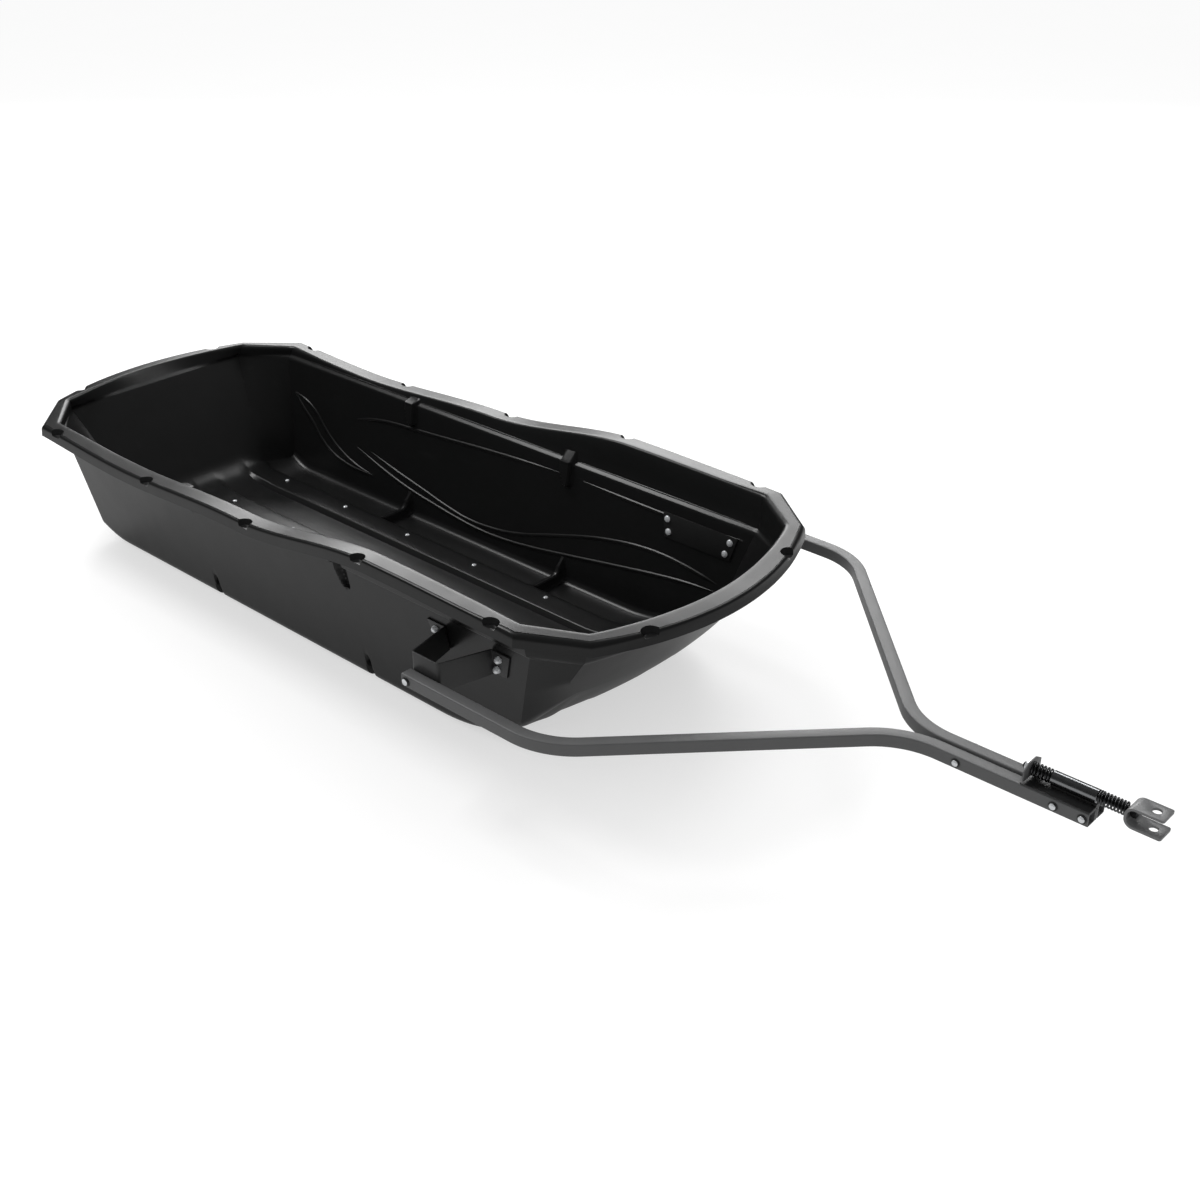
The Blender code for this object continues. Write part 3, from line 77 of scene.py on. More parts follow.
class Graph:
    def __init__(self, name):
        self.material = bpy.data.materials.new(name)
        self.material.use_nodes = True
        self.nodes = self.material.node_tree.nodes
        self.nodes.clear()
        self.links = self.material.node_tree.links
        self.place = self.add("ShaderNodeTexCoord", {}, {}, "Object")

    def add(self, kind, settings, inputs, out=0):
        node = self.nodes.new(kind)
        for name, value in settings.items():
            if name == "stops":
                ramp = node.color_ramp
                while len(ramp.elements) < len(value):
                    ramp.elements.new(0.5)
                for element, (spot, grey) in zip(ramp.elements, value):
                    element.position = spot
                    element.color = (grey, grey, grey, 1.0)
            else:
                setattr(node, name, value)
        for name, value in inputs.items():
            if isinstance(value, Signal):
                self.links.new(value.socket, node.inputs[name])
            else:
                node.inputs[name].default_value = value
        return Signal(self, node.outputs[out]) if node.outputs else None  # an output node passes nothing on

    def stretched(self, scale):
        return self.add("ShaderNodeMapping", {}, {"Vector": self.place, "Scale": scale})

    def noise(self, scale, detail=3.0, roughness=0.55, vector=None):
        return self.add("ShaderNodeTexNoise", {}, {"Vector": vector or self.place, "Scale": scale,
                                                   "Detail": detail, "Roughness": roughness})

    def ramp(self, value, *stops):
        return self.add("ShaderNodeValToRGB", {"stops": stops}, {"Fac": value})

    def mix(self, factor, first, second):
        return self.add("ShaderNodeMix", {"data_type": "RGBA"}, {0: factor, 6: first, 7: second}, 2)

    def bump(self, height, distance, normal=None):
        inputs = {"Height": height, "Distance": distance, "Strength": 1.0}
        if normal:
            inputs["Normal"] = normal
        return self.add("ShaderNodeBump", {}, inputs)

    def finish(self, inputs):
        shader = self.add("ShaderNodeBsdfPrincipled", {}, inputs)
        self.add("ShaderNodeOutputMaterial", {}, {"Surface": shader})
        return self.material


def grey(level, cool=0.0):
    return (level, level * (1.0 + cool / 2), level * (1.0 + cool), 1.0)


def mouldedPlastic(name, look):
    # satin black sheet: a fine pebble, slow waves left by the forming, and dull patches
    g = Graph(name)
    patches = g.noise(look["patchScale"], 4.0, 0.6)
    pebble = g.noise(look["pebbleScale"], 2.0, 0.5)
    waves = g.noise(look["waveScale"], 1.0, 0.4)
    streaks = g.noise(look["scuffScale"], 6.0, 0.7, g.stretched((0.25, 1.0, 1.0)))
    scuffs = g.ramp(streaks, (0.60, 0.0), (0.74, 1.0))
    base = g.mix(patches, grey(look["dark"], 0.03), grey(look["light"], 0.03))
    base = g.mix(scuffs * look["scuffAmount"], base, grey(look["scuffTone"], 0.02))
    rough = patches * look["roughSwing"] + (look["rough"] - look["roughSwing"] / 2) + pebble * 0.05 + scuffs * 0.06
    normal = g.bump(waves, look["waveDepth"])
    normal = g.bump(pebble, look["pebbleDepth"], normal)
    return g.finish({"Base Color": base, "Roughness": rough, "Normal": normal,
                     "Specular IOR Level": look["gloss"]})


def coatedSteel(name, look):
    # powder coat: orange peel over a faint mottle, paler where it is thin
    g = Graph(name)
    mottle = g.noise(look["mottleScale"], 4.0, 0.6)
    peel = g.noise(look["peelScale"], 2.0, 0.5)
    specks = g.ramp(g.noise(look["peelScale"] * 2.4, 1.0, 0.5), (0.66, 0.0), (0.74, 1.0))
    base = g.mix(mottle, grey(look["dark"], 0.02), grey(look["light"], 0.02))
    base = g.mix(specks * look["speckAmount"], base, grey(look["light"] * 1.9))
    rough = mottle * 0.10 + (look["rough"] - 0.05) + peel * 0.04
    normal = g.bump(peel, look["peelDepth"])
    return g.finish({"Base Color": base, "Roughness": rough, "Normal": normal, "Metallic": look["metal"]})


def platedSteel(name, look):
    # bright plate over steel: faint clouds and the fine scratches of tumbling
    g = Graph(name)
    clouds = g.noise(look["cloudScale"], 3.0, 0.6)
    scratches = g.noise(look["scratchScale"], 3.0, 0.6, g.stretched((1.0, 0.12, 1.0)))
    base = g.mix(clouds, grey(look["dark"], 0.05), grey(look["light"], 0.05))
    rough = clouds * 0.10 + scratches * 0.10 + (look["rough"] - 0.10)
    normal = g.bump(scratches, look["scratchDepth"])
    return g.finish({"Base Color": base, "Roughness": rough, "Normal": normal, "Metallic": look["metal"]})


hullBlack = mouldedPlastic("hullBlack", {
    "dark": 0.0060, "light": 0.0090, "patchScale": 7.0, "pebbleScale": 650.0, "pebbleDepth": 0.00006,
    "waveScale": 11.0, "waveDepth": 0.0009, "scuffScale": 26.0, "scuffAmount": 0.25, "scuffTone": 0.022,
    "rough": 0.28, "roughSwing": 0.05, "gloss": 0.31,
})
barBlack = mouldedPlastic("barBlack", {
    "dark": 0.0080, "light": 0.0120, "patchScale": 20.0, "pebbleScale": 420.0, "pebbleDepth": 0.00010,
    "waveScale": 60.0, "waveDepth": 0.0002, "scuffScale": 70.0, "scuffAmount": 0.5, "scuffTone": 0.030,
    "rough": 0.50, "roughSwing": 0.08, "gloss": 0.35,
})
frameGrey = coatedSteel("frameGrey", {
    "dark": 0.076, "light": 0.092, "mottleScale": 22.0, "peelScale": 900.0, "peelDepth": 0.00005,
    "speckAmount": 0.22, "rough": 0.42, "metal": 0.0,
})
darkSteel = coatedSteel("darkSteel", {
    "dark": 0.0090, "light": 0.0125, "mottleScale": 30.0, "peelScale": 900.0, "peelDepth": 0.00005,
    "speckAmount": 0.10, "rough": 0.42, "metal": 0.0,
})
clevisGrey = coatedSteel("clevisGrey", {
    "dark": 0.135, "light": 0.175, "mottleScale": 60.0, "peelScale": 1300.0, "peelDepth": 0.00008,
    "speckAmount": 0.35, "rough": 0.40, "metal": 0.35,
})
brightZinc = platedSteel("brightZinc", {
    "dark": 0.66, "light": 0.80, "cloudScale": 160.0, "scratchScale": 1500.0, "scratchDepth": 0.000006,
    "rough": 0.26, "metal": 0.48,
})
bracketBlack = coatedSteel("bracketBlack", {
    "dark": 0.014, "light": 0.020, "mottleScale": 22.0, "peelScale": 900.0, "peelDepth": 0.00005,
    "speckAmount": 0.22, "rough": 0.40, "metal": 0.0,
})
sleeveSteel = platedSteel("sleeveSteel", {
    "dark": 0.20, "light": 0.27, "cloudScale": 90.0, "scratchScale": 900.0, "scratchDepth": 0.000004,
    "rough": 0.24, "metal": 1.0,
})
springSteel = platedSteel("springSteel", {
    "dark": 0.055, "light": 0.10, "cloudScale": 120.0, "scratchScale": 1200.0, "scratchDepth": 0.00003,
    "rough": 0.30, "metal": 1.0,
})
print("materials made")


# Helpers for meshes


def clamped(value):
    return min(max(value, 0.0), 1.0)


def smoothStep(value):
    t = clamped(value)
    return t * t * (3.0 - 2.0 * t)


def only(kind, made):
    # the verts, edges or faces among what an operator has made
    return [item for item in made if isinstance(item, kind)]


def linked(name, data):
    thing = bpy.data.objects.new(name, data)
    bpy.context.scene.collection.objects.link(thing)
    return thing


def asMesh(bm, name="shape", outwards=True):
    if outwards:
        bmesh.ops.recalc_face_normals(bm, faces=bm.faces)
    mesh = bpy.data.meshes.new(name)
    bm.to_mesh(mesh)
    bm.free()
    return mesh


def fromMesh(mesh):
    bm = bmesh.new()
    bm.from_mesh(mesh)
    return bm


def put(bm, spot):
    bmesh.ops.transform(bm, matrix=spot, verts=bm.verts)
    return bm


def pushed(bm, faces, way):
    # extrudes faces by a vector and gives back those at the far end
    made = bmesh.ops.extrude_face_region(bm, geom=faces)["geom"]
    bmesh.ops.translate(bm, verts=only(BMVert, made), vec=way)
    return only(BMFace, made)


def bevelEdges(bm, edges, width, segments=2):
    if edges:
        bmesh.ops.bevel(bm, geom=edges, offset=width, offset_type="OFFSET", affect="EDGES", segments=segments,
                        profile=0.5, material=-1, clamp_overlap=True)


def roundCorners(bm, verts, width, segments):
    bmesh.ops.bevel(bm, geom=verts, offset=width, offset_type="OFFSET", affect="VERTICES", segments=segments,
                    profile=0.5, material=-1)


def bentEdges(bm, degrees):
    limit = math.radians(degrees)
    return [e for e in bm.edges if e.is_manifold and e.calc_face_angle(0.0) > limit]


def turnProfile(bm, profile, steps, hollow=False):
    # spins (radius, height) points about Z; a hollow profile closes on itself
    verts = [bm.verts.new((radius, 0.0, height)) for radius, height in profile]
    pairs = list(zip(verts[:-1], verts[1:])) + ([(verts[-1], verts[0])] if hollow else [])
    edges = [bm.edges.new(pair) for pair in pairs]
    bmesh.ops.spin(bm, geom=verts + edges, cent=(0.0, 0.0, 0.0), axis=(0.0, 0.0, 1.0), dvec=(0.0, 0.0, 0.0),
                   angle=2.0 * math.pi, steps=steps, use_merge=True, use_duplicate=False)
    poles = [v for v in bm.verts if v.co.x ** 2 + v.co.y ** 2 < 1e-12]
    bmesh.ops.remove_doubles(bm, verts=poles, dist=1e-6)


def hexBlock(bm, radius, low, high, chamfer):
    made = bmesh.ops.create_circle(bm, cap_ends=True, segments=6, radius=radius,
                                   matrix=Matrix.Translation((0.0, 0.0, low)))
    faces = pushed(bm, [made["verts"][0].link_faces[0]], (0.0, 0.0, high - low))
    bevelEdges(bm, list({e for f in faces for e in f.edges}), chamfer)


def arcPoints(radius, rise, low, steps):
    # quarter of an ellipse from its foot to its crown, as (radius, height)
    points = []
    for i in range(steps):
        turn = math.pi / 2 * i / steps
        points.append((radius * math.cos(turn), low + rise * math.sin(turn)))
    return points + [(0.0, low + rise)]


def addPiece(name, source, look, body, node=None, degrees=35.0):
    mesh = asMesh(source, name) if isinstance(source, BMesh) else source
    mesh.transform(Matrix.Translation((-halfSled, 0.0, 0.0)))
    mesh.materials.clear()
    mesh.materials.append(look)
    mesh.shade_smooth()
    mesh.set_sharp_from_angle(angle=math.radians(degrees))
    piece = linked(name, mesh)
    if node:
        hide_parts(node)
    if body:
        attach(piece, body)
    return piece


def baked(shape, cutters=(), solid=None, selfCrossing=False):
    # a mesh or curve with its solidify and booleans worked out, as a plain mesh
    worker = linked("worker", shape)
    if solid:
        shell = worker.modifiers.new("shell", "SOLIDIFY")
        shell.thickness, shell.offset = solid
        shell.use_even_offset = True
        shell.use_rim = True
    tools = []
    for operation, tool in cutters:
        tools.append(linked("tool", tool))
        cut = worker.modifiers.new("cut", "BOOLEAN")
        cut.object = tools[-1]
        cut.operation = operation
        cut.solver = "EXACT"
        cut.use_self = selfCrossing
    bpy.context.view_layer.update()
    result = bpy.data.meshes.new_from_object(worker.evaluated_get(bpy.context.evaluated_depsgraph_get()))
    for other in [worker] + tools:
        bpy.data.objects.remove(other)
    return result


def wireCurve(radius, roundness):
    curve = bpy.data.curves.new("wire", "CURVE")
    curve.dimensions = "3D"
    curve.bevel_depth = radius
    curve.bevel_resolution = roundness
    curve.use_fill_caps = True
    return curve


def along(place, direction):
    # a frame at a place whose Z points in a direction
    turn = Vector((0.0, 0.0, 1.0)).rotation_difference(Vector(direction))
    return Matrix.Translation(Vector(place)) @ turn.to_matrix().to_4x4()


sides = (("right", -1.0), ("left", 1.0))


# The tub

tub = {
    "length": 1.935, "sheet": 0.006, "highest": 0.3705, "floorZ": 0.009, "floorHalf": 0.283, "wallSlope": 0.169,
    "sheer": ((0.05, 0.314), (0.48, 0.299), (0.92, 0.320), (1.36, 0.371), (1.70, 0.367), (1.94, 0.352)),
    "fixed": (0.45, 1.32), "hug": 0.12, "bandMiddle": 0.1565, "bandHalf": 0.0305, "bandRise": 0.027,
    "deckRise": 0.015, "bandSlope": 0.010, "bandFade": (0.15, 0.85), "keelHalf": 0.030, "channelEdge": 0.197,
    "ledgeZ": 0.283, "ledgeClimb": 0.0055, "ledgeWidth": 0.010, "ledgeRise": 0.006, "ledgeEase": 0.014,
    "rimHalf": (0.353, 0.394), "rimTaper": 0.0075, "rimTuck": (0.010, 1.30, 1.10),
    "lipDrop": 0.026, "lipFlare": 0.003, "rimLine": 0.0006, "footCut": 0.0165, "edgeRadius": 0.0066,
    "cornerReach": 0.10, "endReach": (0.45, 0.55), "sternTuck": 0.034, "bowBelly": (0.42, 0.70, 0.280),
    "bellyReach": 0.25,
}
# stern and bow: "facet" is a corner facet's foot and its lean, "half" the wall's half width at its foot
# and its flare (stern) or its head (bow), and "rim" the inner and outer corner as (x, y)
ends = (
    {"way": -1.0, "start": 0.338, "radius": 0.165, "angle": math.radians(56.0), "facet": (0.222, -0.18),
     "half": (0.1935, 0.27), "rim": ((0.183, 0.257), (0.166, 0.276)), "rimWidth": 0.032, "rimBend": 0.70,
     "ledge": 0.007, "cornerEase": 0.64},
    {"way": 1.0, "start": 1.413, "radius": 0.394, "angle": math.radians(57.0), "facet": (1.656, 0.33),
     "half": (0.250, 0.287), "rim": ((1.719, 0.287), (1.739, 0.316)), "rimWidth": 0.044, "rimBend": 0.80,
     "ledge": 0.005, "cornerEase": 0.9},
)
# stiffeners pressed into the side walls: a tall one under the rim and one from the floor at each station
dents = {
    "stations": (0.680, 1.205), "reach": 0.06, "bandFoot": 0.187, "depth": 0.012, "lift": 0.022, "rimGap": 0.007,
    "upper": {"half": 0.020, "taper": 0.007, "edge": 0.007, "from": 0.272, "over": 0.040, "back": 0.018,
              "lean": 0.008, "low": 0.243},
    "lower": {"half": 0.0105, "taper": 0.003, "edge": 0.0055, "from": 0.06, "over": 0.15, "top": 0.215,
              "fade": 0.155},
}


def sheer(x):
    line = tub["sheer"]
    x = min(max(x, line[0][0]), line[-1][0])
    for (xa, za), (xb, zb) in zip(line[:-1], line[1:]):
        if x <= xb:
            return min(za + (zb - za) * smoothStep((x - xa) / (xb - xa)), tub["highest"])
    return line[-1][1]


def sweep(x):
    # how far the floor has risen: an arc at each end, then a straight wall
    for end in ends:
        radius, angle, run = end["radius"], end["angle"], end["way"] * (x - end["start"])
        reach = radius * math.sin(angle)
        if 0.0 < run <= reach:
            return radius - math.sqrt(radius * radius - run * run)
        if run > reach:
            return radius * (1.0 - math.cos(angle)) + (run - reach) * math.tan(angle)
    return 0.0


def footRise(x):
    return sweep(x + tub["sternTuck"] if x < ends[0]["start"] else x)


def wallY(z):
    return tub["floorHalf"] + tub["wallSlope"] * (z - tub["floorZ"])


def ledgeZ(x):
    return tub["ledgeZ"] + tub["ledgeClimb"] * x / tub["length"]


def bowShift(y, z):
    # the bow bulges forward between its corners, more so higher up
    low, climb, half = tub["bowBelly"]
    return (low + climb * z) * (half * half - y * y)


def bandFade(x):
    # the raised bands run out up both sweeps
    start, length = tub["bandFade"]
    share = max(end["way"] * (x - end["start"]) / (end["radius"] * math.sin(end["angle"])) for end in ends)
    return 1.0 - smoothStep((share - start) / length)


def arcTop(end):
    return tub["floorZ"] + end["radius"] * (1.0 - math.cos(end["angle"]))


def endWallX(z, end):
    reach = end["radius"] * math.sin(end["angle"]) + (z - arcTop(end)) / math.tan(end["angle"])
    return end["start"] + end["way"] * reach


def rimSide(x, outer):
    if outer:
        tuck, start, length = tub["rimTuck"]
        return tub["rimHalf"][1] - tuck * clamped((start - x) / length)
    return tub["rimHalf"][0] - tub["rimTaper"] * (ends[1]["rim"][0][0] - x)


def rimEnd(y, bow, outer):
    end = ends[bow]
    start = tub["length"] - tub["lipFlare"] if bow else tub["lipFlare"]
    return start - end["way"] * ((0.0 if outer else end["rimWidth"]) + end["rimBend"] * y * y)


def roundCorner(before, corner, after, cut, steps):
    # a round arc that leaves the two lines at the same distance from their corner
    a, b = (before - corner).normalized(), (after - corner).normalized()
    weight = math.sin(a.angle(b) / 2)
    start, end = corner + a * cut, corner + b * cut
    points = []
    for i in range(steps + 1):
        t = i / steps
        shares = ((1.0 - t) ** 2, 2.0 * weight * t * (1.0 - t), t * t)
        points.append((start * shares[0] + corner * shares[1] + end * shares[2]) / sum(shares))
    return points


def cutFor(before, corner, after, radius):
    half = (before - corner).angle(after - corner) / 2
    return radius / math.tan(half)


def upperDent(x, z):
    # 0 beside an upper stiffener and 1 on its crown; its lower end is round
    shape, best = dents["upper"], 0.0
    for station in dents["stations"]:
        down = clamped((shape["from"] - z) / shape["over"])
        centre = station - shape["back"] + shape["lean"] * down
        half, low = shape["half"] - shape["taper"] * down, shape["low"]
        reach = abs(x - centre) if z > low else math.hypot(x - centre, z - low)
        best = max(best, clamped((half - reach) / shape["edge"]))
    return smoothStep(best)


def lowerDent(x, rise):
    shape = dents["lower"]
    half = shape["half"] - shape["taper"] * clamped((rise - shape["from"]) / shape["over"])
    return smoothStep(max(clamped((half - abs(x - station)) / shape["edge"]) for station in dents["stations"]))


def dentShift(point):
    # how far the stiffeners move a point of the plain tub
    x, y, z = point
    if min(abs(x - station) for station in dents["stations"]) > dents["reach"] or abs(y) < dents["bandFoot"] - 0.001:
        return Vector()
    base, top, channel = tub["floorZ"], ledgeZ(x), tub["channelEdge"]
    rise = (z - base) / (top - base)
    fade = clamped((dents["lower"]["top"] - rise) / dents["lower"]["fade"])
    amount = lowerDent(x, rise)
    across = clamped((abs(y) - channel) / (tub["floorHalf"] - tub["footCut"] - channel))
    push = dents["depth"] * amount * fade * across
    lift = dents["lift"] * amount * fade * clamped((abs(y) - dents["bandFoot"]) / tub["bandSlope"])
    if rise > 0.5:
        shelf = clamped((abs(y) - wallY(top)) / tub["ledgeWidth"])
        ledge = top + tub["ledgeRise"]
        room = min(max(sheer(x) - dents["rimGap"] - ledge, 0.002), dents["rimGap"])
        fade = 0.0 if abs(y) > rimSide(x, 0) - 0.001 else 1.0 - clamped((z - ledge) / room)
        push = (dents["depth"] + tub["ledgeWidth"] * shelf) * upperDent(x, z) * fade
    return Vector((0.0, -math.copysign(push, y), lift))


# rows up a wall, as shares of its height: close together where the stiffeners and the ledge are
wallShares = [0.012, 0.04, 0.07, 0.10, 0.13, 0.16, 0.20, 0.26, 0.32, 0.38, 0.44, 0.50, 0.56, 0.62, 0.67, 0.71]
wallShares += [0.735 + 0.0165 * i for i in range(16)]
rounds = {"footSteps": 6, "edgeSteps": 6, "endFoot": 0.062, "room": 0.62, "hollow": 0.0022, "hollowRoom": 0.35}


def section(wallPoint, ledgePoint, rimPoint, ground, near):
    # one line from the floor's edge up the wall, over the ledge and rim to the foot of the lip
    crown, inner, outer = wallPoint(1.0), rimPoint(0, 0.0, 0.0), rimPoint(1, 0.0, 0.0)
    foot = rimPoint(1, tub["lipFlare"], tub["lipDrop"])
    # its rounds are wider near the tub's corners, so that the sheet's other skin has room
    radius, tall = tub["edgeRadius"] * (1.0 + near), 2.0 * (crown - wallPoint(0.5)).length
    start = tub["footCut"] / tall if ground else rounds["endFoot"]
    room = rounds["room"] * (ledgePoint - crown).length
    crownCut = min(cutFor(wallPoint(0.8), crown, ledgePoint, radius), room)
    footSteps, edgeSteps = rounds["footSteps"], rounds["edgeSteps"]
    if ground:
        line = roundCorner(wallPoint(0.0) + ground, wallPoint(0.0), wallPoint(0.4), tub["footCut"], footSteps)
    else:
        line = [wallPoint(start * i / footSteps) for i in range(footSteps + 1)]
    line += [wallPoint(start + (1.0 - crownCut / tall - start) * share) for share in wallShares]
    line += roundCorner(wallPoint(0.8), crown, ledgePoint, crownCut, edgeSteps)
    hollowCut = min(rounds["hollow"], rounds["hollowRoom"] * room / rounds["room"])
    hollow = roundCorner(crown, ledgePoint, inner, hollowCut, 2)
    brow = roundCorner(ledgePoint, inner, outer, cutFor(ledgePoint, inner, outer, radius), edgeSteps + 1)
    edge = roundCorner(inner, outer, foot, cutFor(inner, outer, foot, radius), edgeSteps + 1)
    line += hollow + [hollow[-1].lerp(brow[0], share) for share in (0.33, 0.67)]
    line += brow + [brow[-1].lerp(edge[0], share) for share in (0.25, 0.5, 0.75, 1.0)]
    step = Vector((0.0, 0.0, -tub["rimLine"]))  # a fine line runs round the top, inside the outer edge
    line += [edge[0].lerp(edge[1], 0.35) + step] + [point + step for point in edge[1:]]
    return line + [(edge[-1] + step).lerp(foot, 0.5), foot]


def sideX(footX, targets):
    # the station of a side wall's point: its ends lean out to the corner facets
    for end, limit, target in zip(ends, tub["fixed"], targets):
        if end["way"] * (footX - limit) > 0.0:
            return footX + (target - end["facet"][0]) * (limit - footX) / (limit - end["facet"][0])
    return footX


def sideSection(footX, sign):
    base = tub["floorZ"] + footRise(footX)

    def facetX(end, rise):
        start, lean = end["facet"]
        return start + lean * (ledgeZ(start) - tub["floorZ"] - footRise(start)) * rise

    def wallPoint(rise):
        x = sideX(footX, [facetX(end, rise) for end in ends])
        z = base + (ledgeZ(x) - base) * rise
        return Vector((x, wallY(z), z))

    def rimPoint(outer, widen, drop):
        x = sideX(footX, [end["rim"][outer][0] for end in ends])
        return Vector((x, rimSide(x, outer) + widen, sheer(x) - drop))

    ledgePoint = wallPoint(1.0) + Vector((0.0, tub["ledgeWidth"], tub["ledgeRise"]))
    away = min(abs(footX - end["facet"][0]) for end in ends)
    ease = ends[footX > tub["length"] / 2]["cornerEase"] * smoothStep(1.0 - away / tub["cornerReach"])
    line = section(wallPoint, ledgePoint, rimPoint, Vector((0.0, -1.0, 0.0)), ease)
    for point in line:
        point.y *= sign
    return line


def endSection(share, bow):
    end = ends[bow]
    low, high = end["half"]
    foot, ledge = arcTop(end), ledgeZ(tub["length"] if bow else 0.0)

    def wallPoint(rise):
        z = foot + (ledge - foot) * rise
        y = share * (low + (high - low) * min(rise / 0.5, 1.0) if bow else low + high * (z - foot))
        return Vector((endWallX(z, end) + (bowShift(y, z) if bow else 0.0), y, z))

    def rimPoint(outer, widen, drop):
        y = share * end["rim"][outer][1]
        x = rimEnd(y, bow, outer)
        return Vector((x + end["way"] * widen, y, sheer(x) - drop))

    start, length = tub["endReach"]
    near = smoothStep((abs(share) - start) / length)
    out = end["way"] * end["ledge"] + (0.0 if bow else tub["ledgeEase"] * near)
    ledgePoint = wallPoint(1.0) + Vector((out, 0.0, tub["ledgeRise"]))
    return section(wallPoint, ledgePoint, rimPoint, None, near * end["cornerEase"])


floorGrid = {"keelRow": 0.014, "bandRow": 0.012, "arc": 4, "deck": 4, "channel": 5, "stern": 20, "sternTurn": 0.2,
             "bow": 28, "bowTurn": 7.0, "step": 0.022, "dent": 26, "beforeDent": 0.056, "afterDent": 0.021}


def floorRows():
    # half of the floor's cross-section as (y, height), with its raised bands' upper edges rounded
    middle, half = tub["bandMiddle"], tub["bandHalf"]
    inner, outer, slope = middle - half, middle + half, tub["bandSlope"]
    band, deck = tub["bandRise"], tub["deckRise"]
    corners = [(0.0, band), (tub["keelHalf"], band), (tub["keelHalf"] + slope, deck), (inner - slope, deck),
               (inner, band), (outer, band), (outer + slope, 0.0)]
    corners = [Vector((y, z)) for y, z in corners]

    def arc(i):
        cut = cutFor(corners[i - 1], corners[i], corners[i + 1], tub["edgeRadius"])
        return roundCorner(corners[i - 1], corners[i], corners[i + 1], cut, floorGrid["arc"])

    rows = [corners[0], Vector((floorGrid["keelRow"], band))] + arc(1) + [corners[2]]
    rows += [corners[2].lerp(corners[3], k / floorGrid["deck"]) for k in range(1, floorGrid["deck"])]
    rows += [corners[3]] + arc(4)
    rows += [Vector((middle - floorGrid["bandRow"], band)), Vector((middle + floorGrid["bandRow"], band))]
    rows += arc(5) + [corners[6]]
    foot, edge, count = outer + slope, tub["floorHalf"] - tub["footCut"], floorGrid["channel"]
    rows += [Vector((foot + (edge - outer - slope) * k / count, 0.0)) for k in range(1, count + 1)]
    return [(row.x, row.y) for row in rows]


def floorColumns():
    # (share of the way to the end, station on the centreline, station at the side) from stern to bow
    columns, (stern, bow) = [], ends
    turn = floorGrid["sternTurn"]
    for i in range(floorGrid["stern"]):
        u = i / floorGrid["stern"]
        middle = stern["start"] - stern["radius"] * math.sin(stern["angle"] * (1.0 - u))
        lean = (stern["start"] - stern["facet"][0]) * (1.0 - max(u - turn, 0.0) / (1.0 - turn))
        columns.append((max(1.0 - u / turn, 0.0), middle, stern["start"] - lean))
    flat, low, step = [], stern["start"], floorGrid["step"]
    for station in dents["stations"]:
        near, far = station - floorGrid["beforeDent"], station + floorGrid["afterDent"]
        count = round((near - low) / step)
        flat += [low + (near - low) * i / count for i in range(count)]
        flat += [near + (far - near) * i / floorGrid["dent"] for i in range(floorGrid["dent"])]
        low = far
    count = round((bow["start"] - low) / step)
    flat += [low + (bow["start"] - low) * i / count for i in range(count + 1)]
    columns += [(0.0, x, x) for x in flat]
    turn = floorGrid["bowTurn"]
    for i in range(1, floorGrid["bow"] + 1):
        u = i / floorGrid["bow"]
        middle = bow["start"] + bow["radius"] * math.sin(bow["angle"] * u)
        side = bow["start"] + (bow["facet"][0] - bow["start"]) * min(u * turn / (turn - 1.0), 1.0)
        columns.append((max(u * turn - (turn - 1.0), 0.0), middle, side))
    return columns


def floorPoint(middle, side, row, height):
    edge, (stern, bow) = tub["floorHalf"] - tub["footCut"], ends
    hug = smoothStep((abs(row) - tub["hug"]) / (edge - tub["hug"]))
    x = middle + (side - middle) * hug
    rise, spread, shift = sweep(x), 1.0, 0.0
    if x < stern["start"]:
        rise += (footRise(x) - rise) * hug
    if x > bow["start"]:
        reach = smoothStep((x - bow["start"]) / (bow["radius"] * math.sin(bow["angle"])))
        spread = 1.0 + (bow["half"][0] / tub["channelEdge"] - 1.0) * reach
        shift = bowShift(row * spread, tub["floorZ"] + rise) * min(reach / tub["bellyReach"], 1.0)
    return Vector((x + shift, row * spread, tub["floorZ"] + rise + height * bandFade(x)))


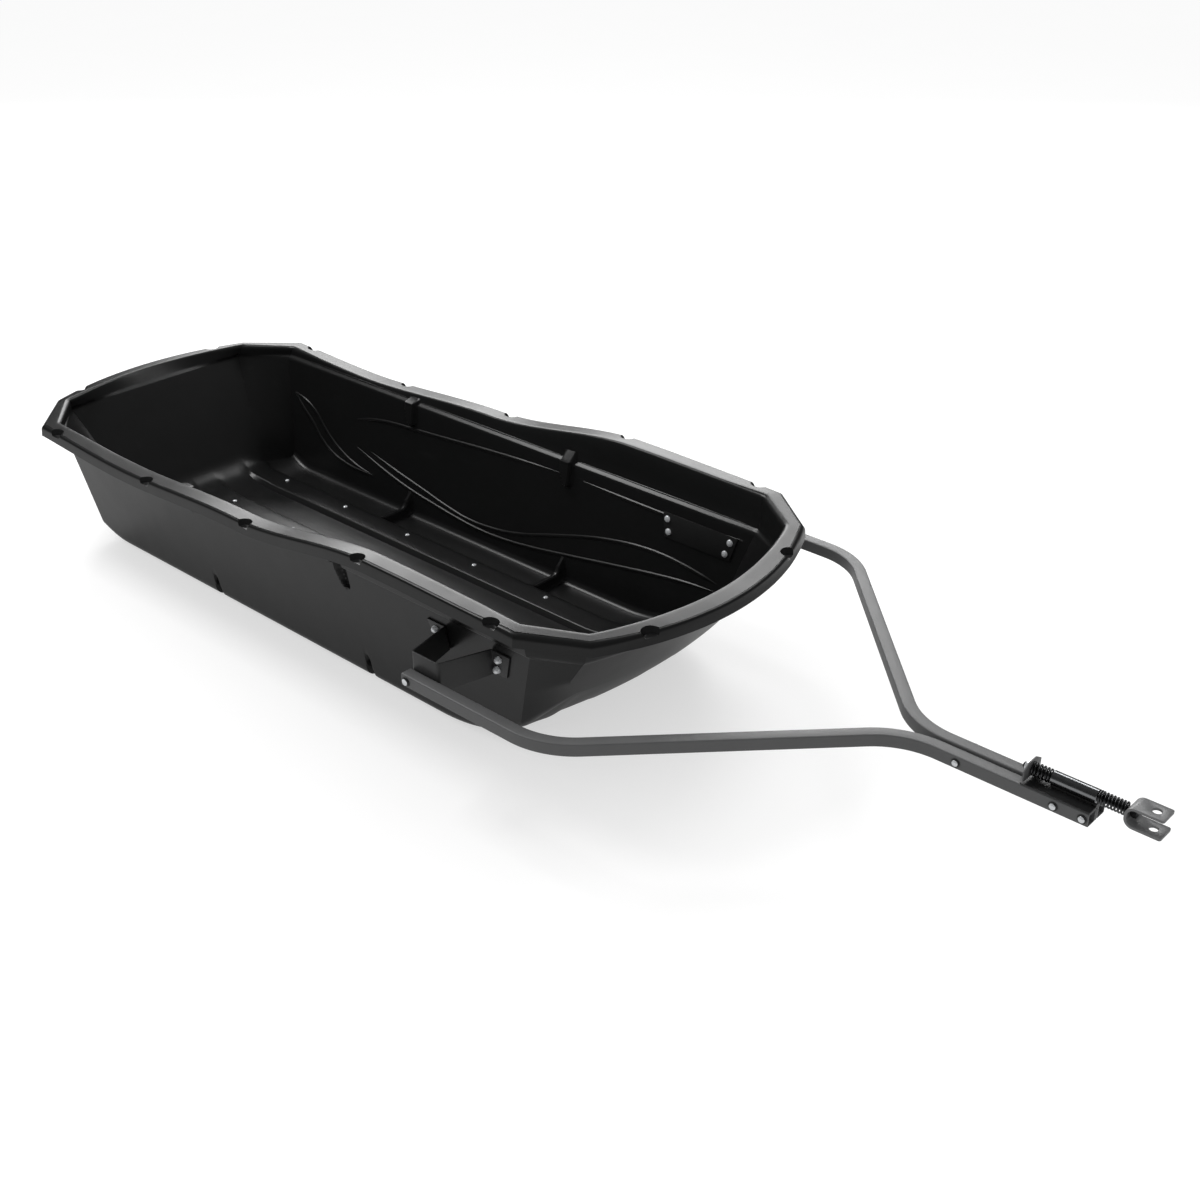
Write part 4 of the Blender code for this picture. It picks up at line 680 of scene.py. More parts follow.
def tubSheet():
    half = floorRows()
    rows = [(-y, z) for y, z in reversed(half[1:])] + half
    columns = floorColumns()
    lastC, lastR = len(columns) - 1, len(rows) - 1
    channel = tub["channelEdge"]
    edgeHalf = rows[-1][0]

    # each line runs up from a point of the floor's edge; between side and end the two are blended
    @lru_cache(None)
    def cornerLine(bow, sign):
        beside, across = sideSection(ends[bow]["facet"][0], sign), endSection(sign, bow)
        return beside, across, [(a + b) / 2 for a, b in zip(beside, across)]

    @lru_cache(None)
    def sideLine(c, sign):
        corner, middle, side = columns[c]
        if corner == 0.0:
            return sideSection(side, sign)
        beside, across, between = cornerLine(c > lastC / 2, sign)
        return [a.lerp(b, corner) for a, b in zip(beside, between)]

    @lru_cache(None)
    def endLine(r, bow):
        y = rows[r][0]
        if abs(y) <= channel + 1e-6:
            return endSection(y / channel, bow)
        beside, across, between = cornerLine(bow, math.copysign(1.0, y))
        share = (abs(y) - channel) / (edgeHalf - channel)
        return [a.lerp(b, share) for a, b in zip(across, between)]

    def lineOf(c, r):
        if r in (0, lastR):
            return sideLine(c, -1.0 if r == 0 else 1.0)
        return endLine(r, c == lastC)

    def inside(c, r):
        corner, middle, side = columns[c]
        y, height = rows[r]
        point = floorPoint(middle, side, y, height)
        if corner > 0.0:
            bow = c > lastC / 2
            last = columns[lastC if bow else 0]
            point += (endLine(r, bow)[0] - floorPoint(last[1], last[2], y, height)) * corner
        return point

    def gridPoint(c, r):
        y = rows[r][0]
        if abs(y) <= channel + 1e-6:
            return inside(c, r)
        step = next(k for k, row in enumerate(rows) if abs(row[0] - math.copysign(channel, y)) < 1e-6)
        share = (abs(y) - channel) / (edgeHalf - channel)
        return inside(c, step).lerp(sideLine(c, math.copysign(1.0, y))[0], share)

    # the floor is a grid, and its boundary is drawn out row by row along those lines
    bm = bmesh.new()
    bmesh.ops.create_grid(bm, x_segments=lastC, y_segments=lastR, size=0.5)
    spots = {v: (round((v.co.x + 0.5) * lastC), round((v.co.y + 0.5) * lastR)) for v in bm.verts}
    ring = {vert: spots[vert] for vert in bm.verts if vert.is_boundary}
    edges = [e for e in bm.edges if e.is_boundary]
    for vert, (c, r) in spots.items():
        vert.co = lineOf(c, r)[0] if vert in ring else gridPoint(c, r)
    for level in range(1, len(lineOf(0, 0))):
        made = bmesh.ops.extrude_edge_only(bm, edges=edges)["geom"]
        fresh = {}
        for vert in only(BMVert, made):
            below = next(e.other_vert(vert) for e in vert.link_edges if e.other_vert(vert) in ring)
            fresh[vert] = ring[below]
            vert.co = lineOf(*fresh[vert])[level]
        edges = [e for e in only(BMEdge, made) if all(v in fresh for v in e.verts)]
        ring = fresh
    bmesh.ops.recalc_face_normals(bm, faces=bm.faces)
    centre = Vector((tub["length"] / 2, 0.0, tub["floorZ"] + tub["bandRise"]))
    if min(bm.faces, key=lambda f: (f.calc_center_median() - centre).length).normal.z < 0.0:
        bmesh.ops.reverse_faces(bm, faces=bm.faces)
    return asMesh(bm, "tubSheet", outwards=False)


pocket = {"radius": 0.020, "foot": 0.0135, "depth": 0.0115, "wall": 0.0045, "sides": 32, "above": 0.008,
          "first": 0.225, "last": 1.679, "aSide": 5, "atEnds": (0.195, 0.206)}


def pocketPlaces():
    places = []
    for sign in (-1.0, 1.0):
        for i in range(pocket["aSide"]):
            x = pocket["first"] + (pocket["last"] - pocket["first"]) * i / (pocket["aSide"] - 1)
            places.append((x, sign * rimSide(x, 1), Vector((0.0, sign, 0.0))))
        for bow, y in enumerate(pocket["atEnds"]):
            out = Vector((ends[bow]["way"], sign * 2.0 * ends[bow]["rimBend"] * y, 0.0)).normalized()
            places.append((rimEnd(y, bow, 1), sign * y, out))
    return places


def pocketTools():
    # cups under the rim, and the cones that hollow them from above and from outside
    half = tub["sheet"] / 2
    wide, narrow = pocket["radius"] + pocket["wall"], pocket["foot"] + pocket["wall"]
    depth = pocket["depth"] + pocket["wall"] - half
    cup = bmesh.new()
    bmesh.ops.create_cone(cup, cap_ends=True, segments=pocket["sides"], radius1=narrow, radius2=wide, depth=depth,
                          matrix=Matrix.Translation((0.0, 0.0, -depth / 2)))
    cut = bmesh.ops.bisect_plane(cup, geom=cup.verts[:] + cup.edges[:] + cup.faces[:], plane_co=(-half, 0.0, 0.0),
                                 plane_no=(1.0, 0.0, 0.0), clear_outer=True)
    bmesh.ops.contextual_create(cup, geom=only(BMEdge, cut["geom_cut"]))
    hollow = bmesh.new()
    slope = (pocket["radius"] - pocket["foot"]) / pocket["depth"]
    tall = pocket["depth"] + pocket["above"]
    bmesh.ops.create_cone(hollow, cap_ends=True, segments=pocket["sides"], radius1=pocket["foot"],
                          radius2=pocket["radius"] + slope * pocket["above"], depth=tall,
                          matrix=Matrix.Translation((0.0, 0.0, tall / 2 - pocket["depth"])))
    cupMesh, hollowMesh = asMesh(cup), asMesh(hollow)
    cups, hollows = bmesh.new(), bmesh.new()
    for x, y, out in pocketPlaces():
        side = Vector((0.0, 0.0, 1.0)).cross(out)
        turn = Matrix((out, side, (0.0, 0.0, 1.0))).transposed().to_4x4()
        for gathered, shape, drop in ((cups, cupMesh, half), (hollows, hollowMesh, 0.0)):
            before = set(gathered.verts)
            gathered.from_mesh(shape)
            bmesh.ops.transform(gathered, matrix=Matrix.Translation((x, y, sheer(x) - drop)) @ turn,
                                verts=[v for v in gathered.verts if v not in before])
    return asMesh(cups), asMesh(hollows)


def tubShell():
    # the stiffeners move both skins alike, so the sheet never crosses itself in them
    plain = tubSheet()
    count = len(plain.vertices)
    thick = baked(plain, solid=(tub["sheet"], -1.0))
    for i in range(count):
        shift = dentShift(thick.vertices[i].co)
        thick.vertices[i].co += shift
        thick.vertices[i + count].co += shift  # the same point on the other skin
    cups, hollows = pocketTools()
    return baked(thick, (("UNION", cups), ("DIFFERENCE", hollows)), selfCrossing=True)


shell = tubShell()
addPiece("tubShell", shell, hullBlack, "sled", "hull", 21.0)
print("tub moulded:", len(shell.polygons), "faces")

# Raised lines drawn on the side walls, as (x, z) points, and thin ones at given stations on the ledge
beads = {
    "radius": 0.0044, "sunk": 0.0016, "tip": 0.45, "ledgeRadius": 0.0020, "ledgeIn": 0.0004, "ledgeUp": 0.0008,
    "ledgeRuns": ((0.26, 0.44, 0.632), (0.694, 0.93, 1.157), (1.219, 1.46, 1.69)),
    "lines": (
        ((0.461, 0.194), (0.520, 0.208), (0.587, 0.2185), (0.661, 0.224), (0.770, 0.2315), (0.919, 0.243),
         (1.03, 0.2500), (1.168, 0.2570)),
        ((1.24, 0.2574), (1.371, 0.2550), (1.533, 0.2553), (1.694, 0.2615)),
        ((0.212, 0.2010), (0.260, 0.1905), (0.302, 0.1705), (0.332, 0.1450), (0.368, 0.1180), (0.417, 0.0925),
         (0.472, 0.0750), (0.532, 0.0665)),
        ((0.212, 0.2000), (0.250, 0.1700), (0.290, 0.1420), (0.327, 0.1090), (0.378, 0.0810), (0.433, 0.0680),
         (0.499, 0.0650), (0.536, 0.0660)),
        ((0.526, 0.1236), (0.624, 0.1025), (0.725, 0.0842), (0.812, 0.0680), (0.884, 0.0590), (0.965, 0.0610),
         (1.053, 0.0745), (1.158, 0.1040), (1.259, 0.1325), (1.338, 0.1500), (1.425, 0.1622), (1.492, 0.1647),
         (1.549, 0.1612), (1.606, 0.1540), (1.644, 0.1480)),
        ((0.470, 0.1220), (0.574, 0.0930), (0.677, 0.0712), (0.777, 0.0580), (0.850, 0.0500), (0.922, 0.0450),
         (1.012, 0.0470), (1.100, 0.0560), (1.226, 0.0750), (1.366, 0.0975), (1.481, 0.1150), (1.555, 0.1240),
         (1.636, 0.1300)),
    ),
}


def wallBeads(sign):
    curve = wireCurve(beads["radius"], 3)
    curve.resolution_u = 8
    lines = [[(x, wallY(z) + beads["sunk"], z, 1.0) for x, z in line] for line in beads["lines"]]
    thin = beads["ledgeRadius"] / beads["radius"]
    for run in beads["ledgeRuns"]:
        lines.append([(x, wallY(ledgeZ(x)) + tub["ledgeWidth"] - beads["ledgeIn"],
                       ledgeZ(x) + tub["ledgeRise"] + beads["ledgeUp"], thin) for x in run])
    for line in lines:
        spline = curve.splines.new("BEZIER")
        spline.bezier_points.add(len(line) - 1)
        for i, (knot, (x, y, z, thickness)) in enumerate(zip(spline.bezier_points, line)):
            knot.co = (x, sign * y, z)
            knot.handle_left_type = knot.handle_right_type = "AUTO"
            knot.radius = beads["tip"] * thickness if i in (0, len(line) - 1) else thickness
    return baked(curve)


for name, sign in sides:
    addPiece(f"wallBeads_{name}", wallBeads(sign), hullBlack, "sled")
print("wall beads laid")

# Runner bars and floor screws

bars = {"half": 0.014, "start": 0.320, "end": 1.370, "tip": 0.016, "row": 0.165, "top": 0.0292, "edge": 0.0022}
screws = {"first": 0.345, "last": 1.2718, "aRow": 5, "shank": 0.0025, "head": 0.0055, "dome": 0.003,
          "grip": 0.024, "lift": 0.0002}
turned = {"sides": 32, "tip": 0.0006, "edge": 0.0003, "thinEdge": 0.0002, "headFoot": 0.985, "domeSteps": 8}
cap = {"hexFoot": 0.98, "hexTop": 0.72, "crown": 0.84, "inside": 0.3, "domeFoot": 0.80, "sides": 28, "domeSteps": 7}


def slab(outline, depth, edge, segments=2):
    # an outline in XY pushed up along Z, with its edges eased
    bm = bmesh.new()
    face = bm.faces.new([bm.verts.new((x, y, 0.0)) for x, y in outline])
    pushed(bm, [face], (0.0, 0.0, depth))
    bmesh.ops.recalc_face_normals(bm, faces=bm.faces)
    bevelEdges(bm, bm.edges[:], edge, segments)
    return bm


def washerProfile(washer):
    radius, top = washer
    edge, thin = turned["edge"], turned["thinEdge"]
    return [(radius - thin, 0.0), (radius, thin), (radius, top - edge), (radius - edge, top)]


def domeBolt(shank, length, head, dome, washer=None):
    bm = bmesh.new()
    base = washer[1] if washer else 0.0
    tip, edge = turned["tip"], turned["edge"]
    profile = [(0.0, -length), (shank - tip, -length), (shank, -length + tip), (shank, 0.0)]
    profile += washerProfile(washer) if washer else []
    profile += [(head * turned["headFoot"], base)] + arcPoints(head, dome - edge, base + edge, turned["domeSteps"])
    turnProfile(bm, profile, turned["sides"])
    return bm


def capNut(radius, height, dome, washer=None):
    bm = bmesh.new()
    base = washer[1] if washer else 0.0
    if washer:
        turnProfile(bm, [(0.0, 0.0)] + washerProfile(washer) + [(0.0, base)], turned["sides"])
    hexBlock(bm, radius, base * cap["hexFoot"], base + height * cap["hexTop"], turned["tip"])
    crown, inside, foot = radius * cap["crown"], base + height * cap["inside"], base + height * cap["domeFoot"]
    dome = arcPoints(crown, height * (1.0 - cap["domeFoot"]) + dome, foot, cap["domeSteps"])
    turnProfile(bm, [(0.0, inside), (crown, inside)] + dome, cap["sides"])
    return bm


barRows = (("right", -bars["row"]), ("center", 0.0), ("left", bars["row"]))
for name, y in barRows:
    tip, start, end, top = bars["tip"], bars["start"], bars["end"], bars["top"]
    outline = ((start, top), (start, tip), (start + tip, 0.0), (end - tip, 0.0), (end, tip), (end, top))
    bar = slab(outline, 2.0 * bars["half"], bars["edge"], 3)
    stand = Matrix.Translation((0.0, y + bars["half"], 0.0)) @ Matrix.Rotation(math.radians(90.0), 4, "X")
    addPiece(f"runnerBar_{name}", put(bar, stand), barBlack, "sled", f"runner_bar_{name}")

screwStep = (screws["last"] - screws["first"]) / (screws["aRow"] - 1)
screwSeat = tub["floorZ"] + tub["bandRise"] + screws["lift"]
for name, y in barRows:
    for i in range(screws["aRow"]):
        screw = domeBolt(screws["shank"], screws["grip"], screws["head"], screws["dome"])
        put(screw, Matrix.Translation((screws["first"] + screwStep * i, y, screwSeat)))
        addPiece(f"floorScrew_{name}_{i + 1}", screw, brightZinc, "sled", f"floor_screw_{name}_{i + 1}")
print("runner bars and screws fitted")

# Arm brackets, backing plates and their bolts

arm = {"tube": 0.0254, "wall": 0.002, "corner": 0.0029, "z": 0.227, "halfTrack": 0.467, "pivotX": 1.5445,
       "tail": 0.0127, "straight": 0.3333, "splay": math.radians(45.87), "bend": 0.160, "bendSteps": 18,
       "gap": 0.0072, "head": 0.3505}
bracket = {"sheet": 0.0035, "skew": 0.0125, "rear": -0.0875, "front": 0.1355, "shear": 0.018,
           "legs": (-0.0375, 0.0855), "crown": (-0.0085, 0.0575), "crownZ": (0.214, 0.2765),
           "flangeZ": (0.2065, 0.2615), "bend": 0.0038, "edge": 0.0006}
plate = {"sheet": 0.003, "top": (-0.0785, 0.1245), "foot": (-0.0685, 0.1115), "edge": 0.0008}
bolts = {"upper": (-0.0645, 0.1065), "lower": (-0.0575, 0.0975), "upperZ": 0.2475, "lowerZ": 0.2205,
         "shank": 0.0038, "head": 0.0078, "dome": 0.0042, "nut": 0.0078, "nutHeight": 0.0062, "nutDome": 0.0045,
         "engaged": 0.8}
crownFace = arm["halfTrack"] - arm["tube"] / 2 - 2.0 * clear
wallSkin = tub["sheet"] / math.cos(math.atan(tub["wallSlope"]))  # the sheet's thickness measured along Y


def outerWall(x, z, sign):
    # a frame on the tub's outer side wall: Z points out, Y up the wall
    out = Vector((0.0, sign, -tub["wallSlope"])).normalized()
    ahead = Vector((1.0, 0.0, 0.0))
    up = out.cross(ahead)
    if up.z < 0.0:
        ahead, up = -ahead, -up
    turn = Matrix((ahead, up, out)).transposed().to_4x4()
    return Matrix.Translation((x, sign * (wallY(z) + wallSkin), z)) @ turn


def innerWall(x, z, sign, lift):
    # the same on the inner side, with Z pointing into the tub
    inwards = Matrix.Rotation(math.pi, 4, "Y")
    return outerWall(x, z, sign) @ Matrix.Translation((0.0, 0.0, -tub["sheet"] - lift)) @ inwards


def boltPlaces(sign):
    rows = ((bolts["upper"], bolts["upperZ"]), (bolts["lower"], bolts["lowerZ"]))
    return [(arm["pivotX"] + dx + sign * bracket["skew"], z) for stations, z in rows for dx in stations]


def armBracket(sign):
    # a strip folded out from the wall to the arm and back, as pairs of a low and a high end at each fold
    shift, pivotX = sign * bracket["skew"], arm["pivotX"]
    shear, legs, crown = bracket["shear"], bracket["legs"], sign * (crownFace - bracket["sheet"])

    def onWall(lowX, highX):
        return [Vector((pivotX + x + shift, sign * (wallY(z) + (wallSkin + clear)), z))
                for x, z in zip((lowX, highX), bracket["flangeZ"])]

    folds = [onWall(bracket["rear"] + shear, bracket["rear"]), onWall(legs[0], legs[0])]
    folds += [[Vector((pivotX + x, crown, z)) for z in bracket["crownZ"]] for x in bracket["crown"]]
    folds += [onWall(legs[1], legs[1]), onWall(bracket["front"] - shear, bracket["front"])]
    bm = bmesh.new()
    edge = bm.edges.new([bm.verts.new(point) for point in folds[0]])
    for lowEnd, highEnd in folds[1:]:
        foot = min(edge.verts, key=lambda v: v.co.z)
        made = bmesh.ops.extrude_edge_only(bm, edges=[edge])["geom"]
        fresh = only(BMVert, made)
        for vert in fresh:
            vert.co = lowEnd if any(e.other_vert(vert) == foot for e in vert.link_edges) else highEnd
        edge = next(e for e in only(BMEdge, made) if all(v in fresh for v in e.verts))
    bmesh.ops.recalc_face_normals(bm, faces=bm.faces)
    if sum(f.normal.y * f.calc_area() for f in bm.faces) * sign < 0.0:
        bmesh.ops.reverse_faces(bm, faces=bm.faces)
    bevelEdges(bm, [e for e in bm.edges if len(e.link_faces) == 2], bracket["bend"], 5)
    bm = fromMesh(baked(asMesh(bm, "strip", outwards=False), solid=(bracket["sheet"], 1.0)))
    bevelEdges(bm, bentEdges(bm, 60.0), bracket["edge"])
    return bm


def backingPlate(sign):
    middle = (plate["top"][0] + plate["top"][1]) / 2
    low, high = bracket["flangeZ"]
    spot = innerWall(arm["pivotX"] + middle + sign * bracket["skew"], (low + high) / 2, sign, clear)
    ahead, half = math.copysign(1.0, spot.to_3x3().col[0].x), (high - low) / 2
    corners = zip((*plate["foot"], *plate["top"][::-1]), (-half, -half, half, half))
    return put(slab([(ahead * (x - middle), y) for x, y in corners], plate["sheet"], plate["edge"]), spot)


for name, sign in sides:
    addPiece(f"armBracket_{name}", armBracket(sign), bracketBlack, "sled", f"arm_bracket_{name}")
    addPiece(f"backingPlate_{name}", backingPlate(sign), darkSteel, "sled", f"backing_plate_{name}")
    length = plate["sheet"] + tub["sheet"] + bracket["sheet"] + 4.0 * clear + bolts["nutHeight"] * bolts["engaged"]
    for i, (x, z) in enumerate(boltPlaces(sign), 1):
        bolt = domeBolt(bolts["shank"], length, bolts["head"], bolts["dome"])
        put(bolt, innerWall(x, z, sign, 2.0 * clear + plate["sheet"]))
        addPiece(f"bracketBolt_{name}_{i}", bolt, brightZinc, "sled", f"bracket_bolt_{name}_{i}")
        nut = capNut(bolts["nut"], bolts["nutHeight"], bolts["nutDome"])
        put(nut, outerWall(x, z, sign) @ Matrix.Translation((0.0, 0.0, bracket["sheet"] + 2.0 * clear)))
        addPiece(f"bracketNut_{name}_{i}", nut, brightZinc, "sled", f"bracket_nut_{name}_{i}")
print("brackets bolted on")

# Tow arms

headTrack = (arm["gap"] + arm["tube"]) / 2
neckX = arm["pivotX"] + arm["straight"] + (arm["halfTrack"] - headTrack) / math.tan(arm["splay"])
armEnd = neckX + arm["head"]


def towArm(sign):
    # a ring of square tube drawn straight, bent in, straight, bent back and straight to the head
    bm = bmesh.new()
    bmesh.ops.create_grid(bm, x_segments=1, y_segments=1, size=arm["tube"] / 2)
    roundCorners(bm, bm.verts[:], arm["corner"], 4)
    bmesh.ops.inset_region(bm, faces=bm.faces[:], thickness=arm["wall"], use_even_offset=True, use_boundary=True)
    middle = min(bm.faces, key=lambda f: f.calc_center_median().length + (0.0 if len(f.verts) > 4 else 1.0))
    bmesh.ops.delete(bm, geom=[middle], context="FACES_ONLY")
    spot = Vector((arm["pivotX"] - arm["tail"], sign * arm["halfTrack"], arm["z"]))
    put(bm, Matrix.Translation(spot) @ Matrix.Rotation(math.radians(90.0), 4, "Y"))
    trim = arm["bend"] * math.tan(arm["splay"] / 2)
    slant = (arm["halfTrack"] - headTrack) / math.sin(arm["splay"])
    faces = bm.faces[:]
    heading = Vector((1.0, 0.0, 0.0))

    def straight(length):
        nonlocal faces, spot
        faces = pushed(bm, faces, heading * length)
        spot = spot + heading * length

    def bend(way):
        nonlocal faces, spot, heading
        centre = spot + Vector((-heading.y, heading.x, 0.0)) * way * arm["bend"]
        geom = faces + list({v for f in faces for v in f.verts}) + list({e for f in faces for e in f.edges})
        made = bmesh.ops.spin(bm, geom=geom, cent=centre, axis=(0.0, 0.0, way), dvec=(0.0, 0.0, 0.0),
                              angle=arm["splay"], steps=arm["bendSteps"], use_duplicate=False)["geom_last"]
        faces = only(BMFace, made)
        turn = Matrix.Rotation(way * arm["splay"], 3, "Z")
        spot = centre + turn @ (spot - centre)
        heading = turn @ heading

    straight(arm["tail"] + arm["straight"] - trim)
    bend(-sign)
    straight(slant - 2.0 * trim)
    bend(sign)
    straight(arm["head"] - trim)
    walls = [f for f in bm.faces if sum(len(e.link_faces) > 2 for e in f.edges) > 1]  # left inside the tube
    bmesh.ops.delete(bm, geom=walls, context="FACES_ONLY")
    return bm


for name, sign in sides:
    addPiece(f"towArm_{name}", towArm(sign), frameGrey, "tow_bar", f"tow_arm_{name}", 40.0)

# the ring shares of a head's radius mark where the painted dark reflection on a bolt or nut begins
pivot = {"radius": 0.005, "head": 0.0095, "dome": 0.005, "ring": 0.74, "nut": 0.0098, "nutHeight": 0.007,
         "tail": 0.002}
headBolt = {"places": (-0.243, -0.0617, -0.0104), "head": 0.0064, "ring": 0.90, "washer": (0.0085, 0.0012),
            "nut": 1.1, "nutPaintedRim": 1.05, "spacer": 0.009, "spacerEdge": 0.0004}
lock = {"hexTop": 0.74, "hexEdge": 0.0007, "collar": 0.82, "inside": 0.5, "collarTop": 0.92, "edge": 0.0006,
        "lip": 0.0004, "seat": 0.0002, "seatTop": 0.93, "sides": 32}


def paintedDarkRim(piece, x, radius):
    # painted dark reflection: faces of a bolt or nut further than a radius from its axis, the dome's flank and any
    # washer, take the dark steel so that only the middle of the dome shines
    centre = Vector((x - halfSled, 0.0, arm["z"]))
    piece.data.materials.append(darkSteel)
    for face in piece.data.polygons:
        away = face.center - centre
        away.y = 0.0
        if away.length > radius:
            face.material_index = 1


def lockNut(radius, height, bore):
    # a hexagon with a round collar that holds the bolt's end
    bm = bmesh.new()
    hexBlock(bm, radius, 0.0, height * lock["hexTop"], lock["hexEdge"])
    collar, inside, seat = radius * lock["collar"], height * lock["inside"], height * lock["seatTop"]
    turnProfile(bm, [(0.0, inside), (collar, inside), (collar, height * lock["collarTop"]),
                     (collar - lock["edge"], height), (bore + lock["lip"], height), (bore + lock["seat"], seat),
                     (0.0, seat)], lock["sides"])
    return bm


for name, sign in sides:
    outer = arm["halfTrack"] + arm["tube"] / 2 + clear
    inner = crownFace - bracket["sheet"] - clear
    bolt = domeBolt(pivot["radius"], outer - inner + pivot["nutHeight"] + pivot["tail"], pivot["head"], pivot["dome"])
    put(bolt, along((arm["pivotX"], sign * outer, arm["z"]), (0.0, sign, 0.0)))
    piece = addPiece(f"pivotBolt_{name}", bolt, brightZinc, "sled", f"pivot_bolt_{name}")
    paintedDarkRim(piece, arm["pivotX"], pivot["head"] * pivot["ring"])
    nut = lockNut(pivot["nut"], pivot["nutHeight"], pivot["radius"])
    put(nut, along((arm["pivotX"], sign * inner, arm["z"]), (0.0, -sign, 0.0)))
    addPiece(f"pivotNut_{name}", nut, brightZinc, "sled", f"pivot_nut_{name}")

seat = headTrack + arm["tube"] / 2 + clear
for i, back in enumerate(headBolt["places"], 1):
    x, head, washer = armEnd + back, headBolt["head"], headBolt["washer"]
    length = 2.0 * seat + bolts["nutHeight"] * bolts["engaged"]
    bolt = domeBolt(bolts["shank"], length, head, bolts["dome"], washer)
    put(bolt, along((x, -seat, arm["z"]), (0.0, -1.0, 0.0)))
    paintedDarkRim(addPiece(f"headBolt_{i}", bolt, brightZinc, "tow_bar", f"head_bolt_{i}"), x,
             head * headBolt["ring"])
    nut = capNut(head * headBolt["nut"], bolts["nutHeight"], bolts["nutDome"], washer)
    put(nut, along((x, seat, arm["z"]), (0.0, 1.0, 0.0)))
    paintedDarkRim(addPiece(f"headNut_{i}", nut, brightZinc, "tow_bar", f"head_nut_{i}"), x,
             head * headBolt["nutPaintedRim"])


def tubeRing(inner, outer, length, ease, steps=36):
    bm = bmesh.new()
    turnProfile(bm, [(inner, 0.0), (outer - ease, 0.0), (outer, ease), (outer, length - ease), (outer - ease, length),
                     (inner, length)], steps, hollow=True)
    return bm


bush = tubeRing(bolts["shank"] + 2.0 * clear, headBolt["spacer"], arm["gap"] - 2.0 * clear, headBolt["spacerEdge"])
put(bush, along((armEnd + headBolt["places"][0], -arm["gap"] / 2 + clear, arm["z"]), (0.0, 1.0, 0.0)))
addPiece("armSpacer", bush, darkSteel, "tow_bar", "arm_spacer")
print("tow arms drawn")

# Hitch

hitch = {"rodZ": 0.260, "sleeveBack": 0.082, "sleeve": 0.0122, "bore": 0.0071, "sleeveLength": 0.0809,
         "sleeveEdge": 0.0008, "carrierBack": 0.1245, "webBack": 0.1055, "plateHalf": 0.0285, "plateSheet": 0.003,
         "plateEdge": 0.0006, "webEdge": 0.0004, "saddleHalf": 0.006, "saddleEdge": 0.0005, "overlap": 0.001,
         "rearSpring": 0.037, "frontSpring": 0.052}
clevis = {"length": 0.064, "half": 0.020, "rise": 0.0193, "sheet": 0.0045, "bend": 0.0165, "bendSteps": 10,
          "corner": 0.005, "pinBack": 0.0205, "pin": 0.00795, "edge": 0.0005}
sleeveStart = armEnd - hitch["sleeveBack"]
retainerFront = sleeveStart - hitch["rearSpring"]
clevisBack = sleeveStart + hitch["sleeveLength"] + hitch["frontSpring"]


def block(bm, low, high, edge):
    # an eased block between two corners, added to what is already there
    low, high = Vector(low), Vector(high)
    made = bmesh.ops.create_cube(bm, size=1.0, matrix=Matrix.Translation((low + high) / 2)
                                 @ Matrix.Diagonal((*(high - low), 1.0)))
    bevelEdges(bm, list({e for v in made["verts"] for e in v.link_edges}), edge)


def hitchCarrier():
    # a plate over both arms, its web between them and the saddle under the sleeve; the plate's black top over the arms
    # is partly the carrier's dark steel and partly painted shade, standing for the shadow and dark reflection of the
    # sleeve and springs on the arms
    wide, web, saddle = hitch["plateHalf"], arm["gap"] / 2 - clear, hitch["saddleHalf"]
    low = arm["z"] + arm["tube"] / 2 + clear
    high, overlap = low + hitch["plateSheet"], hitch["overlap"]
    bm = bmesh.new()
    block(bm, (armEnd - hitch["carrierBack"], -wide, low), (armEnd, wide, high), hitch["plateEdge"])
    block(bm, (armEnd - hitch["webBack"], -web, arm["z"] - arm["tube"] / 2), (armEnd, web, low + overlap),
          hitch["webEdge"])
    block(bm, (sleeveStart, -saddle, high - overlap), (armEnd, saddle, hitch["rodZ"] - hitch["sleeve"] - clear),
          hitch["saddleEdge"])
    return bm


def rodSpot(x):
    return along((x, 0.0, hitch["rodZ"]), (1.0, 0.0, 0.0))


addPiece("hitchCarrier", hitchCarrier(), darkSteel, "tow_bar", "hitch_carrier")
sleeve = tubeRing(hitch["bore"], hitch["sleeve"], hitch["sleeveLength"], hitch["sleeveEdge"], 48)
addPiece("hitchSleeve", put(sleeve, rodSpot(sleeveStart)), sleeveSteel, "tow_bar", "hitch_sleeve")

# Draw rod: a long bolt with its thread at the tail and its head inside the clevis, and the nut behind the retainer
rod = {"radius": 0.0063, "end": (0.0046, 0.0058), "bevel": 0.0012, "root": 0.0055, "turns": 12, "pitch": 0.00175,
       "sides": 28, "tail": 0.004, "head": 0.0095, "headHeight": 0.0075, "headEdge": 0.0008, "sunk": 0.001,
       "nut": 0.0105, "nutHeight": 0.0085}
retainer = {"sheet": 0.003, "half": 0.0285, "top": 0.0165, "foot": -0.0140, "cut": 0.017, "slope": 0.6,
            "edge": 0.0007}


def drawRod(tail):
    # the head's corners meet the inside of the clevis' bend
    bend, radius = clevis["bend"] - clevis["sheet"], rod["radius"]
    offMiddle = rod["head"] - (clevis["rise"] - clevis["bend"])
    bendX = clevisBack + clevis["bend"] - math.sqrt(bend * bend - offMiddle * offMiddle)
    seat = bendX + 2.0 * clear - tail
    profile = [(0.0, 0.0), (rod["end"][0], 0.0), (rod["end"][1], rod["bevel"])]
    for i in range(rod["turns"]):
        profile.append((radius, rod["bevel"] + rod["pitch"] * (i + 0.5)))
        profile.append((rod["root"], rod["bevel"] + rod["pitch"] * (i + 1.0)))
    profile += [(radius, rod["bevel"] + rod["pitch"] * (rod["turns"] + 0.6)), (radius, seat + rod["sunk"]),
                (0.0, seat + rod["sunk"])]
    bm = bmesh.new()
    turnProfile(bm, profile, rod["sides"])
    hexBlock(bm, rod["head"], seat, seat + rod["headHeight"], rod["headEdge"])
    return put(bm, rodSpot(tail))


